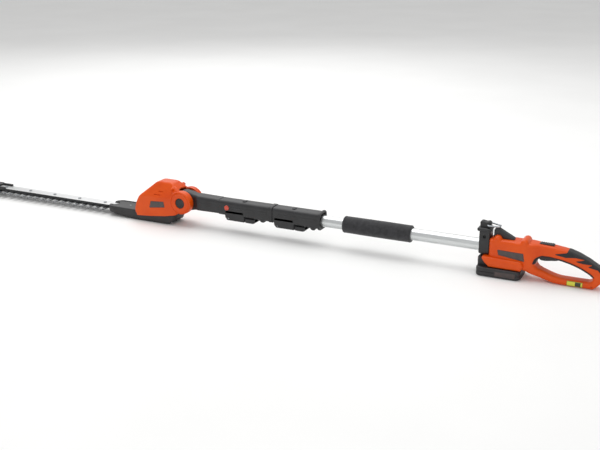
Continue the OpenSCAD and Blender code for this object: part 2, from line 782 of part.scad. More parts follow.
module tilt_button() {
    y0 = 0.3 - head_half_w;
    y1 = tilt_floor - tilt_travel - 0.8;
    color(black) at_pivot() difference() {
        y_rod(0, 0, tilt_button_d / 2, y0, y1);
        y_rod(0, 0, tilt_button_d / 2 - 3, y0 + 2.5, y1 + 1);
    }
}
module tilt_spring() {
    color(steel) at_pivot() translate([0, tilt_floor, 0]) rotate([90, 0, 0])
        coil(r = 8, wire = 1, len = 4.8, turns = 4);
}

// Plan of the gear case: a rounded nose and a square rear end
module case_plan() {
    r = 22;
    translate([-case_front + r, r - case_w / 2]) offset(r = r) square([60, case_w - 2 * r]);
    translate([-case_front + 60, -case_w / 2]) square([case_front - 60 - case_rear, case_w]);
}
module case_screw_set(r, z0, z1) {
    for (x = [-205, -130, -36], y = [-26, 26]) translate([x, y, z0]) cylinder(r = r, h = z1 - z0);
}
yoke_half = [20.5, 26.5];
module gear_case() {
    color(black) at_pivot() difference() {
        intersection() {
            side(-50, 50) polygon([[-case_front, bar_bottom], [-case_front, deck_top - 3],
                [3 - case_front, deck_top], [-case_rear, deck_top], [2 - case_rear, bar_bottom]]);
            translate([0, 0, -100]) linear_extrude(100) case_plan();
        }
        // Guide bar channel and the notch that shows it
        box([-case_front - 1, -bar_w / 2, bar_bottom - 1], [-bar_rear, bar_w / 2, bar_top]);
        translate([-case_front - 1, 0, bar_bottom]) linear_extrude(40) {
            translate([0, -11]) square([10, 22]);
            translate([10, 0]) circle(r = 11);
        }
        // Crank hub, axle seat and screws
        translate([crank_x, 0, -80]) cylinder(r = hub_r + part_gap, h = 60);
        case_screw_set(1.7, -90, deck_top - 2);
        bar_bolt_set(2.5, -90, deck_top - 1);
    }
}
bar_rear = 127;
bar_bolts = [-140, -190];
module bar_bolt_set(r, z0, z1) {
    for (x = bar_bolts) translate([x, 0, z0]) cylinder(r = r, h = z1 - z0);
}
module skid_cover() {
    color(black) at_pivot() difference() {
        intersection() {
            side(-50, 50) polygon([[-case_front, bar_bottom], [8 - case_front, -61], [26 - case_front, -65],
                [-160, skid_bottom], [-52, skid_bottom], [-38, -64], [-26, -56], [-case_rear, bar_bottom]]);
            translate([0, 0, -100]) linear_extrude(100) case_plan();
        }
        // Blade passage and yoke room
        box([-case_front - 1, -15.5, lower_z - 1], [crank_x, 15.5, bar_bottom + 1]);
        box([crank_x - yoke_half[0] - throw - 1, -yoke_half[1] - 0.5, lower_z - 1],
            [crank_x + yoke_half[0] + throw + 1, yoke_half[1] + 0.5, bar_bottom + 1]);
        translate([crank_x, 0, lower_z - 4]) cylinder(r = axle_r, h = 60);
        case_screw_set(1.7, -90, 0);
        case_screw_set(3.2, -90, -62);
        bar_bolt_set(5.2, lower_z - 3.2, bar_bottom);
    }
}
module skid_screws() {
    color(steel) at_pivot() { case_screw_set(1.7, -62, deck_top - 2); case_screw_set(3.2, -64, -62); }
}
module motor() {
    color(steel) at_pivot() translate([motor_x, 0, plate_z[1]]) difference() {
        union() { cylinder(r = motor_d / 2, h = motor_h); translate([0, 0, motor_h]) cylinder(r = 6, h = 3); }
        translate([0, 0, -1]) cylinder(r = shaft_r + run_gap, h = motor_h - 3);
    }
}
shaft_r = 2;
module motor_shaft() {
    color(steel) at_pivot() translate([motor_x, 0, gear_z[0] - 1]) cylinder(r = shaft_r, h = 60);
}
plate_posts = [[-82, 29.5], [-82, -29.5], [-36, 20], [-36, -20]];
module motor_plate() {
    color(steel) at_pivot() difference() {
        union() {
            translate([0, 0, plate_z[0]]) linear_extrude(plate_z[1] - plate_z[0])
                hull() for (p = plate_posts) translate(p) circle(r = 3, $fn = 32);
            for (p = plate_posts) translate([p[0], p[1], deck_top]) cylinder(r = 3,
                h = plate_z[0] - deck_top);
        }
        translate([motor_x, 0, -60]) cylinder(r = 8.5, h = 60);
        translate([crank_x, 0, -60]) cylinder(r = axle_r, h = 60);
    }
}

// Involute spur gears
pressure = 25;
function inv_point(base, t) = base * [cos(t) + t * PI / 180 * sin(t), sin(t) - t * PI / 180 * cos(t)];
function turned(p, a) = [p[0] * cos(a) - p[1] * sin(a), p[0] * sin(a) + p[1] * cos(a)];
function roll_at(base, r) = sqrt(max(0, pow(r / base, 2) - 1)) * 180 / PI;
function tooth_flank(base, from, to, n) =
    [for (i = [0:n]) inv_point(base, roll_at(base, from) + (roll_at(base, to) - roll_at(base,
        from)) * i / n)];
module gear_outline(teeth, backlash) {
    pitch_r = gear_module * teeth / 2;
    base = pitch_r * cos(pressure);
    outer = pitch_r + 0.9 * gear_module;
    root = pitch_r - 1.25 * gear_module;
    start = max(base, root);
    flank = tooth_flank(base, start, outer, 4);
    pitch_roll = roll_at(base, pitch_r);
    at_pitch = atan2(inv_point(base, pitch_roll)[1], inv_point(base, pitch_roll)[0]);
    half_tooth = 90 / teeth - backlash / (2 * pitch_r) * 180 / PI;
    lower = [for (p = flank) turned(p, -half_tooth - at_pitch)];
    upper = [for (i = [len(lower) - 1:-1:0]) [lower[i][0], -lower[i][1]]];
    root_half = 180 / teeth;
    polygon([for (k = [0:teeth - 1]) let (a = 360 * k / teeth)
        each concat([turned([root, 0], a - root_half)], [turned([root, 0], a - half_tooth - at_pitch)],
            [for (p = lower) turned(p, a)], [for (p = upper) turned(p, a)],
            [turned([root, 0], a + half_tooth + at_pitch)])]);
}
axle_r = 4;
hub_r = 10;
eccentric_r = 14;
module crank_axle() {
    color(steel) at_pivot() translate([crank_x, 0, lower_z - 4]) cylinder(r = axle_r,
        h = plate_z[1] - lower_z + 4);
}
// Drive gear with its hub and the two eccentrics, half a turn apart
module crank_gear() {
    color(steel) at_pivot() translate([crank_x, 0, 0]) difference() {
        union() {
            translate([0, 0, gear_z[0]]) linear_extrude(gear_z[1] - gear_z[0]) gear_outline(gear_teeth, 0.16);
            translate([0, 0, bar_bottom - blade_gap / 2]) cylinder(r = hub_r, h = gear_z[0] - bar_bottom + 1);
            translate([0, throw, upper_z - blade_gap / 2])
                cylinder(r = eccentric_r, h = bar_bottom - upper_z);
            translate([0, -throw, lower_z]) cylinder(r = eccentric_r, h = upper_z - lower_z - blade_gap / 2);
        }
        translate([0, 0, -80]) cylinder(r = axle_r + run_gap, h = 80);
    }
}
module motor_pinion() {
    color("goldenrod") at_pivot() translate([motor_x, 0, gear_z[0] - 1]) difference() {
        linear_extrude(gear_z[1] - gear_z[0] + 1.4) rotate(180 / pinion_teeth)
            gear_outline(pinion_teeth, 0.16);
        translate([0, 0, -1]) cylinder(r = shaft_r, h = 20);
    }
}

// ---------- blades ----------

strip_half = 14;
guide_count = 5;
guide_r = 4;
first_guide = first_tooth + tooth_pitch / 2;
guide_step = (last_tooth - tooth_pitch / 2 - first_guide) / (guide_count - 1);
function guide_x(i) = -first_guide - i * guide_step;
// Linear follower: the yoke's slot leaves room for a crank at a constant ratio
follow_slack = 0.211 * throw + 0.2;
tooth_tip = 6;
module travel_slot(x) {
    hull() for (s = [-1, 1]) translate([x + s * (throw + 0.2), 0]) circle(r = guide_r + 0.2, $fn = 32);
}
// The strip with its yoke; the teeth stand along both of its edges
module blade_outline() {
    difference() {
        union() {
            translate([crank_x, 0]) square(2 * yoke_half, center = true);
            translate([-strip_end, -strip_half]) square([strip_end + crank_x, 2 * strip_half]);
        }
        for (i = [0:guide_count - 1]) travel_slot(guide_x(i));
        for (x = bar_bolts) travel_slot(x);
        // Yoke slot around the eccentric
        translate([crank_x, 0]) square([2 * (eccentric_r + follow_slack), 2 * (eccentric_r + throw + 0.5)],
            center = true);
    }
}
module teeth_outline() {
    for (i = [0:tooth_count - 1], s = [-1, 1]) translate([-first_tooth - i * tooth_pitch, 0]) polygon([
        [tooth_root / 2, s * strip_half], [tooth_tip / 2, s * blade_w / 2],
        [-tooth_tip / 2, s * blade_w / 2], [-tooth_root / 2, s * strip_half]]);
}
module blade_level(z) { color(steel) at_pivot() translate([0, 0, z]) linear_extrude(blade_t) children(); }
module upper_blade() { blade_level(upper_z) blade_outline(); }
module lower_blade() { blade_level(lower_z) blade_outline(); }
module upper_teeth() { blade_level(upper_z) teeth_outline(); }
module lower_teeth() { blade_level(lower_z) teeth_outline(); }
module guide_bar() {
    color("gainsboro") at_pivot() difference() {
        box([-bar_end, -bar_w / 2, bar_bottom], [-bar_rear, bar_w / 2, bar_top]);
        for (i = [0:guide_count - 1]) translate([guide_x(i), 0, -80]) cylinder(r = bolt_r, h = 60);
        bar_bolt_set(bolt_r, -80, 0);
        translate([-bar_end + 8, 0, -80]) cylinder(r = bolt_r, h = 60);
    }
}
bolt_r = 2.5;
module blade_bolts() {
    color(steel) at_pivot() {
        for (i = [0:guide_count - 1]) translate([guide_x(i), 0, 0]) {
            translate([0, 0, lower_z - 3]) cylinder(r = bolt_r, h = bar_top - lower_z + 3);
            translate([0, 0, bar_top]) cylinder(r = 4.5, h = 1.8);
        }
        bar_bolt_set(bolt_r, lower_z - 3, deck_top - 1);
        translate([-bar_end + 8, 0, lower_z - 2]) cylinder(r = bolt_r, h = bar_top - lower_z + 2);
    }
}
// Flanged guide nuts that carry the blades under the bar
module blade_guides() {
    color(steel) at_pivot() for (x = concat([for (i = [0:guide_count - 1]) guide_x(i)], bar_bolts))
        translate([x, 0, 0]) difference() {
            union() {
                translate([0, 0, lower_z - 0.3]) cylinder(r = guide_r, h = bar_bottom - lower_z + 0.3);
                translate([0, 0, lower_z - 2]) cylinder(r = guide_r + (x < -case_front ? 3.5 : 0.9), h = 1.8);
            }
            translate([0, 0, -90]) cylinder(r = bolt_r, h = 90);
        }
}
module tip_guard() {
    arm = [13, 21];
    color(black) at_pivot() difference() {
        union() {
            translate([0, 0, -59]) linear_extrude(deck_top + 1 + 59) offset(r = 9)
                translate([9 - guard_end, 9 - 26]) square([guard_end - strip_end - 2 - 18, 52 - 18]);
            for (s = [-1, 1]) box([-strip_end - 4, min(s * arm[0], s * arm[1]), bar_top],
                [34 - strip_end, max(s * arm[0], s * arm[1]), deck_top + 1]);
        }
        box([-bar_end, -bar_w / 2, bar_bottom], [0, bar_w / 2, bar_top]);
        box([-strip_end - throw - 1.5, -strip_half - 1, lower_z - 1], [0, strip_half + 1, bar_bottom + 1]);
        translate([-bar_end + 8, 0, lower_z - 2]) cylinder(r = bolt_r, h = bar_top - lower_z + 2);
    }
}

handle_left();
handle_right();
grip_overmould();
handle_screws();
handle_badges();
safety_label();
switch_body();
control_board();
battery_contacts();
trigger();
trigger_pin();
trigger_spring();
lock_off_button();
lock_off_spring();
pole_tube();
foam_grip();
coiled_lead();
strap_bracket();
bracket_screw();
strap_rest();
strap_ring();
battery_upper();
battery_lower();
battery_cells();
battery_latch();
middle_tube();
rear_coupler();
rear_lever();
rear_lever_pin();
front_coupler();
front_lever();
front_lever_pin();
release_button();
neck_left();
neck_right();
neck_screws();
pivot_axle();
pivot_washers();
head_left();
head_right();
head_screws();
head_badges();
tilt_button();
tilt_spring();
gear_case();
skid_cover();
skid_screws();
motor();
motor_plate();
motor_pinion();
motor_shaft();
crank_gear();
crank_axle();
upper_blade();
lower_blade();
upper_teeth();
lower_teeth();
guide_bar();
blade_bolts();
blade_guides();
tip_guard();
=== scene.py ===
import math

import bmesh
import bpy
import numpy as np
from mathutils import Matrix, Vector, geometry


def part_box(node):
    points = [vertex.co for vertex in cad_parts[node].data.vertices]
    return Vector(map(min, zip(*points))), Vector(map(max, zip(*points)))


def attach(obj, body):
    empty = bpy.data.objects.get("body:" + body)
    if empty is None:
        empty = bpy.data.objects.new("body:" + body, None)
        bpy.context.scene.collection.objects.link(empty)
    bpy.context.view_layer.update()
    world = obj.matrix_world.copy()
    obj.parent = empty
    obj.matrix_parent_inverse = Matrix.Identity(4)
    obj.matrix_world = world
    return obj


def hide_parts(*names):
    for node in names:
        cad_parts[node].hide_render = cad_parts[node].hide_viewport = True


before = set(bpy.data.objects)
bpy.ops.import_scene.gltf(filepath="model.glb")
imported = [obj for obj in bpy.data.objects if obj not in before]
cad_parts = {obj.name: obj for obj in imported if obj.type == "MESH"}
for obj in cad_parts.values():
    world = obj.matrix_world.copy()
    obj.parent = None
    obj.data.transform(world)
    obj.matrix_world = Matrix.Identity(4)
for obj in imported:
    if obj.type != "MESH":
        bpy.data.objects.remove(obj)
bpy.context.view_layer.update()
print("frame loaded:", len(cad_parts), "nodes")

mm = 0.001


def middleOf(node):
    low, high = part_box(node)
    return (low + high) / 2


# Places that the pieces are drawn from: the handle's front face on the pole axis, the tilt pivot
# and the front of each clamp block on the pole axis
poleAxisZ = middleOf("pole_tube").z
handleLength = 277
handleAt = Vector((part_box("handle_left")[1].x - handleLength * mm, 0, poleAxisZ))
pivotAt = Vector((middleOf("pivot_axle").x, 0, middleOf("pivot_axle").z))
rearBlockAt = Vector((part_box("rear_coupler")[0].x + 4 * mm, 0, poleAxisZ))
frontBlockAt = Vector((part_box("front_coupler")[0].x + 20 * mm, 0, poleAxisZ))


# ---- camera, light and floor ----

camera = {"at": (1.1528, -2.1401, 0.8396), "looks": (-0.4083, 0.8560, -0.3173), "lens": 57}


def setCamera():
    data = bpy.data.cameras.new("camera")
    data.lens = camera["lens"]
    data.sensor_width = 36
    seen = bpy.data.objects.new("camera", data)
    bpy.context.scene.collection.objects.link(seen)
    seen.location = camera["at"]
    seen.rotation_mode = "QUATERNION"
    seen.rotation_quaternion = Vector(camera["looks"]).to_track_quat("-Z", "Y")
    bpy.context.scene.camera = seen


studio = {
    "sky": 0.62,
    "lamps": [  # place, size, watts
        ((-0.4, 0.4, 3.0), 2.6, 52),
        ((1.2, -2.6, 1.6), 1.6, 9),
        ((-1.4, 2.2, 2.0), 2.4, 20),
    ],
    "floorSize": 80,
    "floor": "#F6F6F5",
    "floorDark": "#F3F3F2",
    "floorPatch": 0.5,
}


def linear(code):
    parts = [int(code[i : i + 2], 16) / 255 for i in (1, 3, 5)]
    return tuple(c / 12.92 if c <= 0.04045 else ((c + 0.055) / 1.055) ** 2.4 for c in parts) + (1,)


def setStudio():
    world = bpy.data.worlds.new("studio")
    world.use_nodes = True
    sky = world.node_tree.nodes["Background"]
    sky.inputs["Color"].default_value = (1, 1, 1, 1)
    sky.inputs["Strength"].default_value = studio["sky"]
    bpy.context.scene.world = world
    bpy.context.scene.view_settings.view_transform = "Standard"
    for i, (at, size, watts) in enumerate(studio["lamps"]):
        lamp = bpy.data.lights.new(f"softbox{i}", "AREA")
        lamp.size = size
        lamp.energy = watts
        hung = bpy.data.objects.new(f"softbox{i}", lamp)
        hung.location = at
        hung.rotation_mode = "QUATERNION"
        hung.rotation_quaternion = (-Vector(at)).to_track_quat("-Z", "Y")
        bpy.context.scene.collection.objects.link(hung)


# ---- materials ----

def add(tree, kind, settings=None, inputs=None):
    # A node with its settings; an input is a value or a (node, output) pair to link
    made = tree.nodes.new("ShaderNode" + kind)
    for name, value in (settings or {}).items():
        setattr(made, name, value)
    for name, value in (inputs or {}).items():
        if isinstance(value, tuple) and isinstance(value[0], bpy.types.Node):
            tree.links.new(value[0].outputs[value[1]], made.inputs[name])
        else:
            made.inputs[name].default_value = value
    return made


def startMaterial(name, surface):
    # An empty material with its shader; surface holds the shader's own socket values
    material = bpy.data.materials.new(name)
    material.use_nodes = True
    tree = material.node_tree
    shader = tree.nodes["Principled BSDF"]
    for socket, value in surface.items():
        shader.inputs[socket].default_value = value
    coords = add(tree, "TexCoord")
    return material, tree, shader, coords


def tones(tree, source, dark, light, low, high):
    # Runs a texture from a dark tone to a light one
    ramp = add(tree, "ValToRGB", inputs={"Fac": source})
    for stop, place, tone in zip(ramp.color_ramp.elements, (low, high), (dark, light)):
        stop.position = place
        stop.color = linear(tone)
    return ramp.outputs["Color"]


def noise(tree, coords, size, **detail):
    # Noise over the object whose features are a given size in metres
    return add(tree, "TexNoise", inputs={"Vector": (coords, "Object"), "Scale": 1 / size, **detail}), "Fac"


def mottled(tree, coords, dark, light, patch):
    # Colour that drifts between two tones over patches of a given size in metres
    return tones(tree, noise(tree, coords, patch, Detail=3), dark, light, 0.35, 0.65)


def dress(tree, shader, colour, source, rough, wander, bump=0, depth=0, invert=False):
    # Gives a shader its colour, a gloss that wanders with a texture, and the texture's relief
    tree.links.new(colour, shader.inputs["Base Color"])
    gloss = add(tree, "MapRange",
                inputs={"Value": source, "To Min": rough - wander, "To Max": rough + wander})
    tree.links.new(gloss.outputs["Result"], shader.inputs["Roughness"])
    if bump:
        relief = add(tree, "Bump", {"invert": invert},
                     {"Height": source, "Strength": bump, "Distance": depth * mm})
        tree.links.new(relief.outputs["Normal"], shader.inputs["Normal"])


def mouldedPlastic(name, plastic):
    # Injection moulded: spark-eroded grain from the tool, faint flow marks, skin gloss
    material, tree, shader, coords = startMaterial(
        name, {"IOR": plastic["ior"], "Coat Weight": plastic["coat"]})
    colour = mottled(tree, coords, plastic["dark"], plastic["light"], plastic["patch"] * mm)
    grain = noise(tree, coords, plastic["grain"] * mm, Detail=2, Roughness=0.6)
    dress(tree, shader, colour, grain, plastic["rough"], 0.07, plastic["bump"], 0.1)
    return material


# ABS: the shells' glossy orange, with a satin grain
absOrange = {"dark": "#D64800", "light": "#E05202", "patch": 60, "grain": 1.4, "rough": 0.38,
             "bump": 0.12, "ior": 1.36, "coat": 0.05}
# Glass-filled nylon: near-black, drier, with a coarser grain
nylonBlack = {"dark": "#1C1C1D", "light": "#252527", "patch": 25, "grain": 1.2, "rough": 0.46,
              "bump": 0.25, "ior": 1.53, "coat": 0.0}
# Polished acetal: the release button's clear red
acetalRed = {"dark": "#C8402A", "light": "#D8543A", "patch": 10, "grain": 1.0, "rough": 0.22,
             "bump": 0.04, "ior": 1.48, "coat": 0.4}
# ABS latch, a dark red with a dull grain
absDarkRed = {"dark": "#5A140E", "light": "#6E1C14", "patch": 10, "grain": 1.0, "rough": 0.4,
              "bump": 0.15, "ior": 1.53, "coat": 0.0}
# Polycarbonate film on the blank name plates, dark bronze
filmBronze = {"dark": "#2E2220", "light": "#43322F", "patch": 18, "grain": 1.5, "rough": 0.3,
              "bump": 0.05, "ior": 1.58, "coat": 0.3}
# Glass-epoxy board and PVC cell wraps, seen only when the shells are off
boardGreen = {"dark": "#124A2A", "light": "#1B6338", "patch": 6, "grain": 0.8, "rough": 0.35,
              "bump": 0.1, "ior": 1.5, "coat": 0.2}
wrapGreen = {"dark": "#1F7A52", "light": "#2A9466", "patch": 12, "grain": 2.0, "rough": 0.25,
             "bump": 0.04, "ior": 1.52, "coat": 0.3}


def softRubber(name, rubber):
    # Thermoplastic rubber moulded over the shell: dull, with a fine pebble that catches light
    material, tree, shader, coords = startMaterial(name, {"IOR": 1.5, "Sheen Weight": rubber["sheen"],
                                                          "Sheen Roughness": 0.5})
    colour = mottled(tree, coords, rubber["dark"], rubber["light"], rubber["patch"] * mm)
    pebble = add(tree, "TexVoronoi", {"feature": "SMOOTH_F1"},
                 {"Vector": (coords, "Object"), "Scale": 1 / (rubber["pebble"] * mm), "Smoothness": 0.6})
    dress(tree, shader, colour, (pebble, "Distance"), rubber["rough"], 0.08, rubber["bump"], 0.3, True)
    return material


gripRubber = {"dark": "#171718", "light": "#1F1F21", "patch": 20, "pebble": 1.6, "rough": 0.66,
              "bump": 0.35, "sheen": 0.1}
# Nitrile foam: open cells of about 1 mm at the skin, a dusty dark grey
nitrileFoam = {"dark": "#252527", "light": "#333336", "patch": 9, "pebble": 1.8, "rough": 0.9,
               "bump": 0.8, "sheen": 0.25}


def streaks(tree, coords, stretch, line, detail):
    # Fine lines a given number of mm apart, drawn out along one direction
    drawn = add(tree, "Mapping", inputs={"Vector": (coords, "Object"), "Scale": stretch})
    lines = add(tree, "TexNoise", inputs={"Vector": (drawn, "Vector"), "Scale": 1 / (line * mm), **detail})
    return lines, "Fac"


def workedMetal(name, metal):
    # Drawn, ground or turned metal: fine lines along one direction that break up the gloss
    material, tree, shader, coords = startMaterial(name, {"Metallic": 1, "Anisotropic": metal["anisotropy"]})
    source = streaks(tree, coords, metal["stretch"], metal["line"], {"Detail": 4, "Roughness": 0.65})
    colour = tones(tree, source, metal["dark"], metal["light"], 0.3, 0.7)
    dress(tree, shader, colour, source, metal["rough"], 0.08, metal["bump"], 0.05)
    return material


# Anodised aluminium tube, drawn along its length: silver with long faint streaks
drawnAluminium = {"dark": "#C6C9CA", "light": "#DEE0E0", "line": 1.0, "stretch": (0.03, 1, 1), "rough": 0.34,
                  "bump": 0.15, "anisotropy": 0.3}
# Hardened steel blades, surface-ground across their width
groundSteel = {"dark": "#5E6062", "light": "#8A8C8E", "line": 0.8, "stretch": (1, 0.08, 1), "rough": 0.32,
               "bump": 0.3, "anisotropy": 0.4}
# Zinc-plated steel screws, pins and springs: bright with a bluish cast
zincPlate = {"dark": "#8E9296", "light": "#B4B8BC", "line": 0.6, "stretch": (1, 1, 1), "rough": 0.28,
             "bump": 0.1, "anisotropy": 0.0}
# Rolled steel motor can and turned brass pinion
rolledSteel = {"dark": "#7C7E80", "light": "#9A9C9E", "line": 1.0, "stretch": (1, 1, 0.05), "rough": 0.35,
               "bump": 0.1, "anisotropy": 0.2}
turnedBrass = {"dark": "#B08A3C", "light": "#CBA555", "line": 0.6, "stretch": (1, 1, 0.1), "rough": 0.25,
               "bump": 0.1, "anisotropy": 0.2}
# Guide bar: scratches run along it. top is a painted highlight colour for the upward faces, side a painted
# dark shade for the sides
guideBarShadeAndHighlight = {"top": "#DADBDB", "side": "#1E1F20", "line": 0.9, "stretch": (0.05, 1, 1), "rough": 0.36}


def shadedLitBar(name, bar):
    # Aluminium bar with a painted highlight on its upward faces, which are light and metallic, and painted
    # shade on its sides, which are near-black and not metallic
    material, tree, shader, coords = startMaterial(name, {})
    source = streaks(tree, coords, bar["stretch"], bar["line"], {"Detail": 3})
    facing = add(tree, "SeparateXYZ", inputs={"Vector": (coords, "Normal")})
    # Faces whose normal points up get the painted highlight colour and metal; all other faces get the painted
    # shade colour
    highlightTopMask = add(tree, "Math", {"operation": "GREATER_THAN"}, {0: (facing, "Z"), 1: 0.7})
    colour = add(tree, "Mix", {"data_type": "RGBA"},
                 {"Factor": (highlightTopMask, "Value"), 6: linear(bar["side"]), 7: linear(bar["top"])})
    tree.links.new(highlightTopMask.outputs["Value"], shader.inputs["Metallic"])
    dress(tree, shader, colour.outputs[2], source, bar["rough"], 0.1, 0.15, 0.05)
    return material


labelPrint = {"ground": "#D9D63A", "field": "#2C3010", "fieldFrom": 19, "fieldTo": 32, "rim": "#8E9A20",
              "rimWidth": 1.2, "length": 36, "height": 12, "rough": 0.35}


def printedLabel(name, label, middle):
    # Printed polyester film: a plain yellow field, a darker rim and a dark block, no lettering
    material, tree, shader, coords = startMaterial(name, {"IOR": 1.57, "Coat Weight": 0.3})
    place = add(tree, "SeparateXYZ", inputs={"Vector": (coords, "Object")})

    def reckon(operation, first, second=0.0):
        return add(tree, "Math", {"operation": operation}, {0: first, 1: second}), "Value"

    def away(axis, centre):
        return reckon("ABSOLUTE", reckon("SUBTRACT", (place, axis), centre))
    rimX = reckon("GREATER_THAN", away("X", middle.x), (label["length"] / 2 - label["rimWidth"]) * mm)
    rimZ = reckon("GREATER_THAN", away("Z", middle.z), (label["height"] / 2 - label["rimWidth"]) * mm)
    start, end = ((label[k] - label["length"] / 2) * mm for k in ("fieldFrom", "fieldTo"))
    field = reckon("LESS_THAN", away("X", middle.x + (start + end) / 2), (end - start) / 2)
    base = add(tree, "Mix", {"data_type": "RGBA"},
               {"Factor": field, 6: linear(label["ground"]), 7: linear(label["field"])})
    colour = add(tree, "Mix", {"data_type": "RGBA"},
                 {"Factor": reckon("MAXIMUM", rimX, rimZ), 6: (base, 2), 7: linear(label["rim"])})
    dress(tree, shader, colour.outputs[2], noise(tree, coords, 0.8 * mm), label["rough"], 0.05)
    return material


setCamera()
setStudio()

orange, black, redButton, darkRed, bronze, board, wrap = (mouldedPlastic(name, plastic) for name, plastic in (
    ("absOrange", absOrange), ("nylonBlack", nylonBlack), ("acetalRed", acetalRed),
    ("absDarkRed", absDarkRed), ("filmBronze", filmBronze), ("boardGreen", boardGreen),
    ("wrapGreen", wrapGreen)))
rubber, foam = softRubber("gripRubber", gripRubber), softRubber("nitrileFoam", nitrileFoam)
tubeMetal, bladeMetal, zinc, canMetal, brass = (workedMetal(name, metal) for name, metal in (
    ("drawnAluminium", drawnAluminium), ("groundSteel", groundSteel), ("zincPlate", zincPlate),
    ("rolledSteel", rolledSteel), ("turnedBrass", turnedBrass)))
paintedLightBarMetal = shadedLitBar("shadedLitBar", guideBarShadeAndHighlight)
print("materials made")


# ---- outlines, all in millimetres ----

def rounded(points, radius, spacing=3.5):
    # Closed outline with its corners turned into arcs; a point's third value is its own radius.
    # An arc takes at most half of the shorter side beside it.
    out = []
    for i, here in enumerate(points):
        corner = np.array(here[:2], float)
        back = np.array(points[i - 1][:2], float) - corner
        ahead = np.array(points[(i + 1) % len(points)][:2], float) - corner
        backLength, aheadLength = np.linalg.norm(back), np.linalg.norm(ahead)
        back, ahead = back / backLength, ahead / aheadLength
        between = math.acos(max(-1.0, min(1.0, float(back @ ahead))))
        wanted = here[2] if len(here) > 2 else radius
        if wanted <= 0 or between > math.radians(179):
            out.append(corner)
            continue
        reach = min(wanted / math.tan(between / 2), 0.495 * backLength, 0.495 * aheadLength)
        r = reach * math.tan(between / 2)
        inward = (back + ahead) / np.linalg.norm(back + ahead)
        centre = corner + inward * (r / math.sin(between / 2))
        first, last = corner + back * reach - centre, corner + ahead * reach - centre
        start = math.atan2(first[1], first[0])
        turn = (math.atan2(last[1], last[0]) - start + math.pi) % (2 * math.pi) - math.pi
        steps = max(1, math.ceil(max(abs(turn) / math.radians(18), abs(turn) * r / spacing)))
        for k in range(steps + 1):
            a = start + turn * k / steps
            out.append(centre + r * np.array((math.cos(a), math.sin(a))))
    return spaced(out, spacing)


def spaced(points, spacing):
    # Adds points so that no side is longer than the spacing, and drops doubled ones
    out = []
    for i, here in enumerate(points):
        ahead = points[(i + 1) % len(points)]
        length = np.linalg.norm(np.array(ahead) - np.array(here))
        if length < 0.02:
            continue
        steps = max(1, math.ceil(length / spacing))
        out += [np.array(here) + (np.array(ahead) - np.array(here)) * k / steps for k in range(steps)]
    return np.array(out)


def circle(x, z, r, spacing=3.0):
    steps = max(20, math.ceil(2 * math.pi * r / spacing))
    turn = [2 * math.pi * k / steps for k in range(steps)]
    return np.array([(x + r * math.cos(a), z + r * math.sin(a)) for a in turn])


def rectangle(x0, x1, z0, z1, radius=0, spacing=3.5):
    return rounded([(x0, z0), (x1, z0), (x1, z1), (x0, z1)], radius, spacing)


def grown(loop, amount):
    # The outline moved outwards, or inwards if amount is negative; for small amounts
    ahead = np.roll(loop, -1, 0) - loop
    normal = np.stack([ahead[:, 1], -ahead[:, 0]], 1)
    normal /= np.linalg.norm(normal, axis=1)[:, None]
    both = normal + np.roll(normal, 1, 0)
    both /= np.maximum((both * both).sum(1), 0.4)[:, None] / 2
    x, z = loop[:, 0], loop[:, 1]
    area = (x * np.roll(z, -1) - np.roll(x, -1) * z).sum()
    return loop + both * (amount if area > 0 else -amount)


def within(points, loop):
    x, z = points[:, :1], points[:, 1:2]
    ahead = np.roll(loop, -1, 0)
    crosses = (loop[:, 1] > z) != (ahead[:, 1] > z)
    rise = ahead[:, 1] - loop[:, 1]
    rise = np.where(rise == 0, 1, rise)
    at = (ahead[:, 0] - loop[:, 0]) * (z - loop[:, 1]) / rise + loop[:, 0]
    return (crosses & (x < at)).sum(1) % 2 == 1


def inRoom(x0=-math.inf, x1=math.inf, z0=-math.inf, z1=math.inf):
    # The test for being inside a rectangle, open on the sides left out
    return lambda p: (p[:, 0] > x0) & (p[:, 0] < x1) & (p[:, 1] > z0) & (p[:, 1] < z1)


def sidesOf(loop):
    return loop, np.roll(loop, -1, 0)


def distanceTo(points, sides):
    start, end = sides
    along = end - start
    found = []
    for part in np.array_split(points, max(1, len(points) // 400)):
        away = part[:, None] - start
        t = np.clip((away * along).sum(2) / np.maximum((along * along).sum(1), 1e-9), 0, 1)
        gap = away - t[..., None] * along
        found.append(np.sqrt((gap**2).sum(2)).min(1))
    return np.concatenate(found)


# ---- solids: a flat outline given a height on each face ----

def triangulate(loops, extra, keep):
    points, edges = [], []
    for loop in loops:
        first = len(points)
        points += [Vector(p) for p in loop]
        edges += [(first + i, first + (i + 1) % len(loop)) for i in range(len(loop))]
    points += [Vector(p) for p in extra]
    flat = geometry.delaunay_2d_cdt(points, edges, [], 0, 1e-3)
    corners = np.array([tuple(v) for v in flat[0]])
    faces = np.array([tuple(f) for f in flat[2]])
    a, b, c = (corners[faces[:, k]] for k in range(3))
    area = (b[:, 0] - a[:, 0]) * (c[:, 1] - a[:, 1]) - (c[:, 0] - a[:, 0]) * (b[:, 1] - a[:, 1])
    faces[area < 0] = faces[area < 0][:, ::-1]
    real = np.abs(area) > 1e-4
    return corners, faces[real & keep((a + b + c) / 3)]


def rimOf(faces):
    directed = np.concatenate([faces[:, [0, 1]], faces[:, [1, 2]], faces[:, [2, 0]]])
    known = set(map(tuple, directed.tolist()))
    return np.array([e for e in directed.tolist() if (e[1], e[0]) not in known])


ringShares = [1 - math.cos(math.radians(a)) for a in (18, 36, 54, 72, 90)]


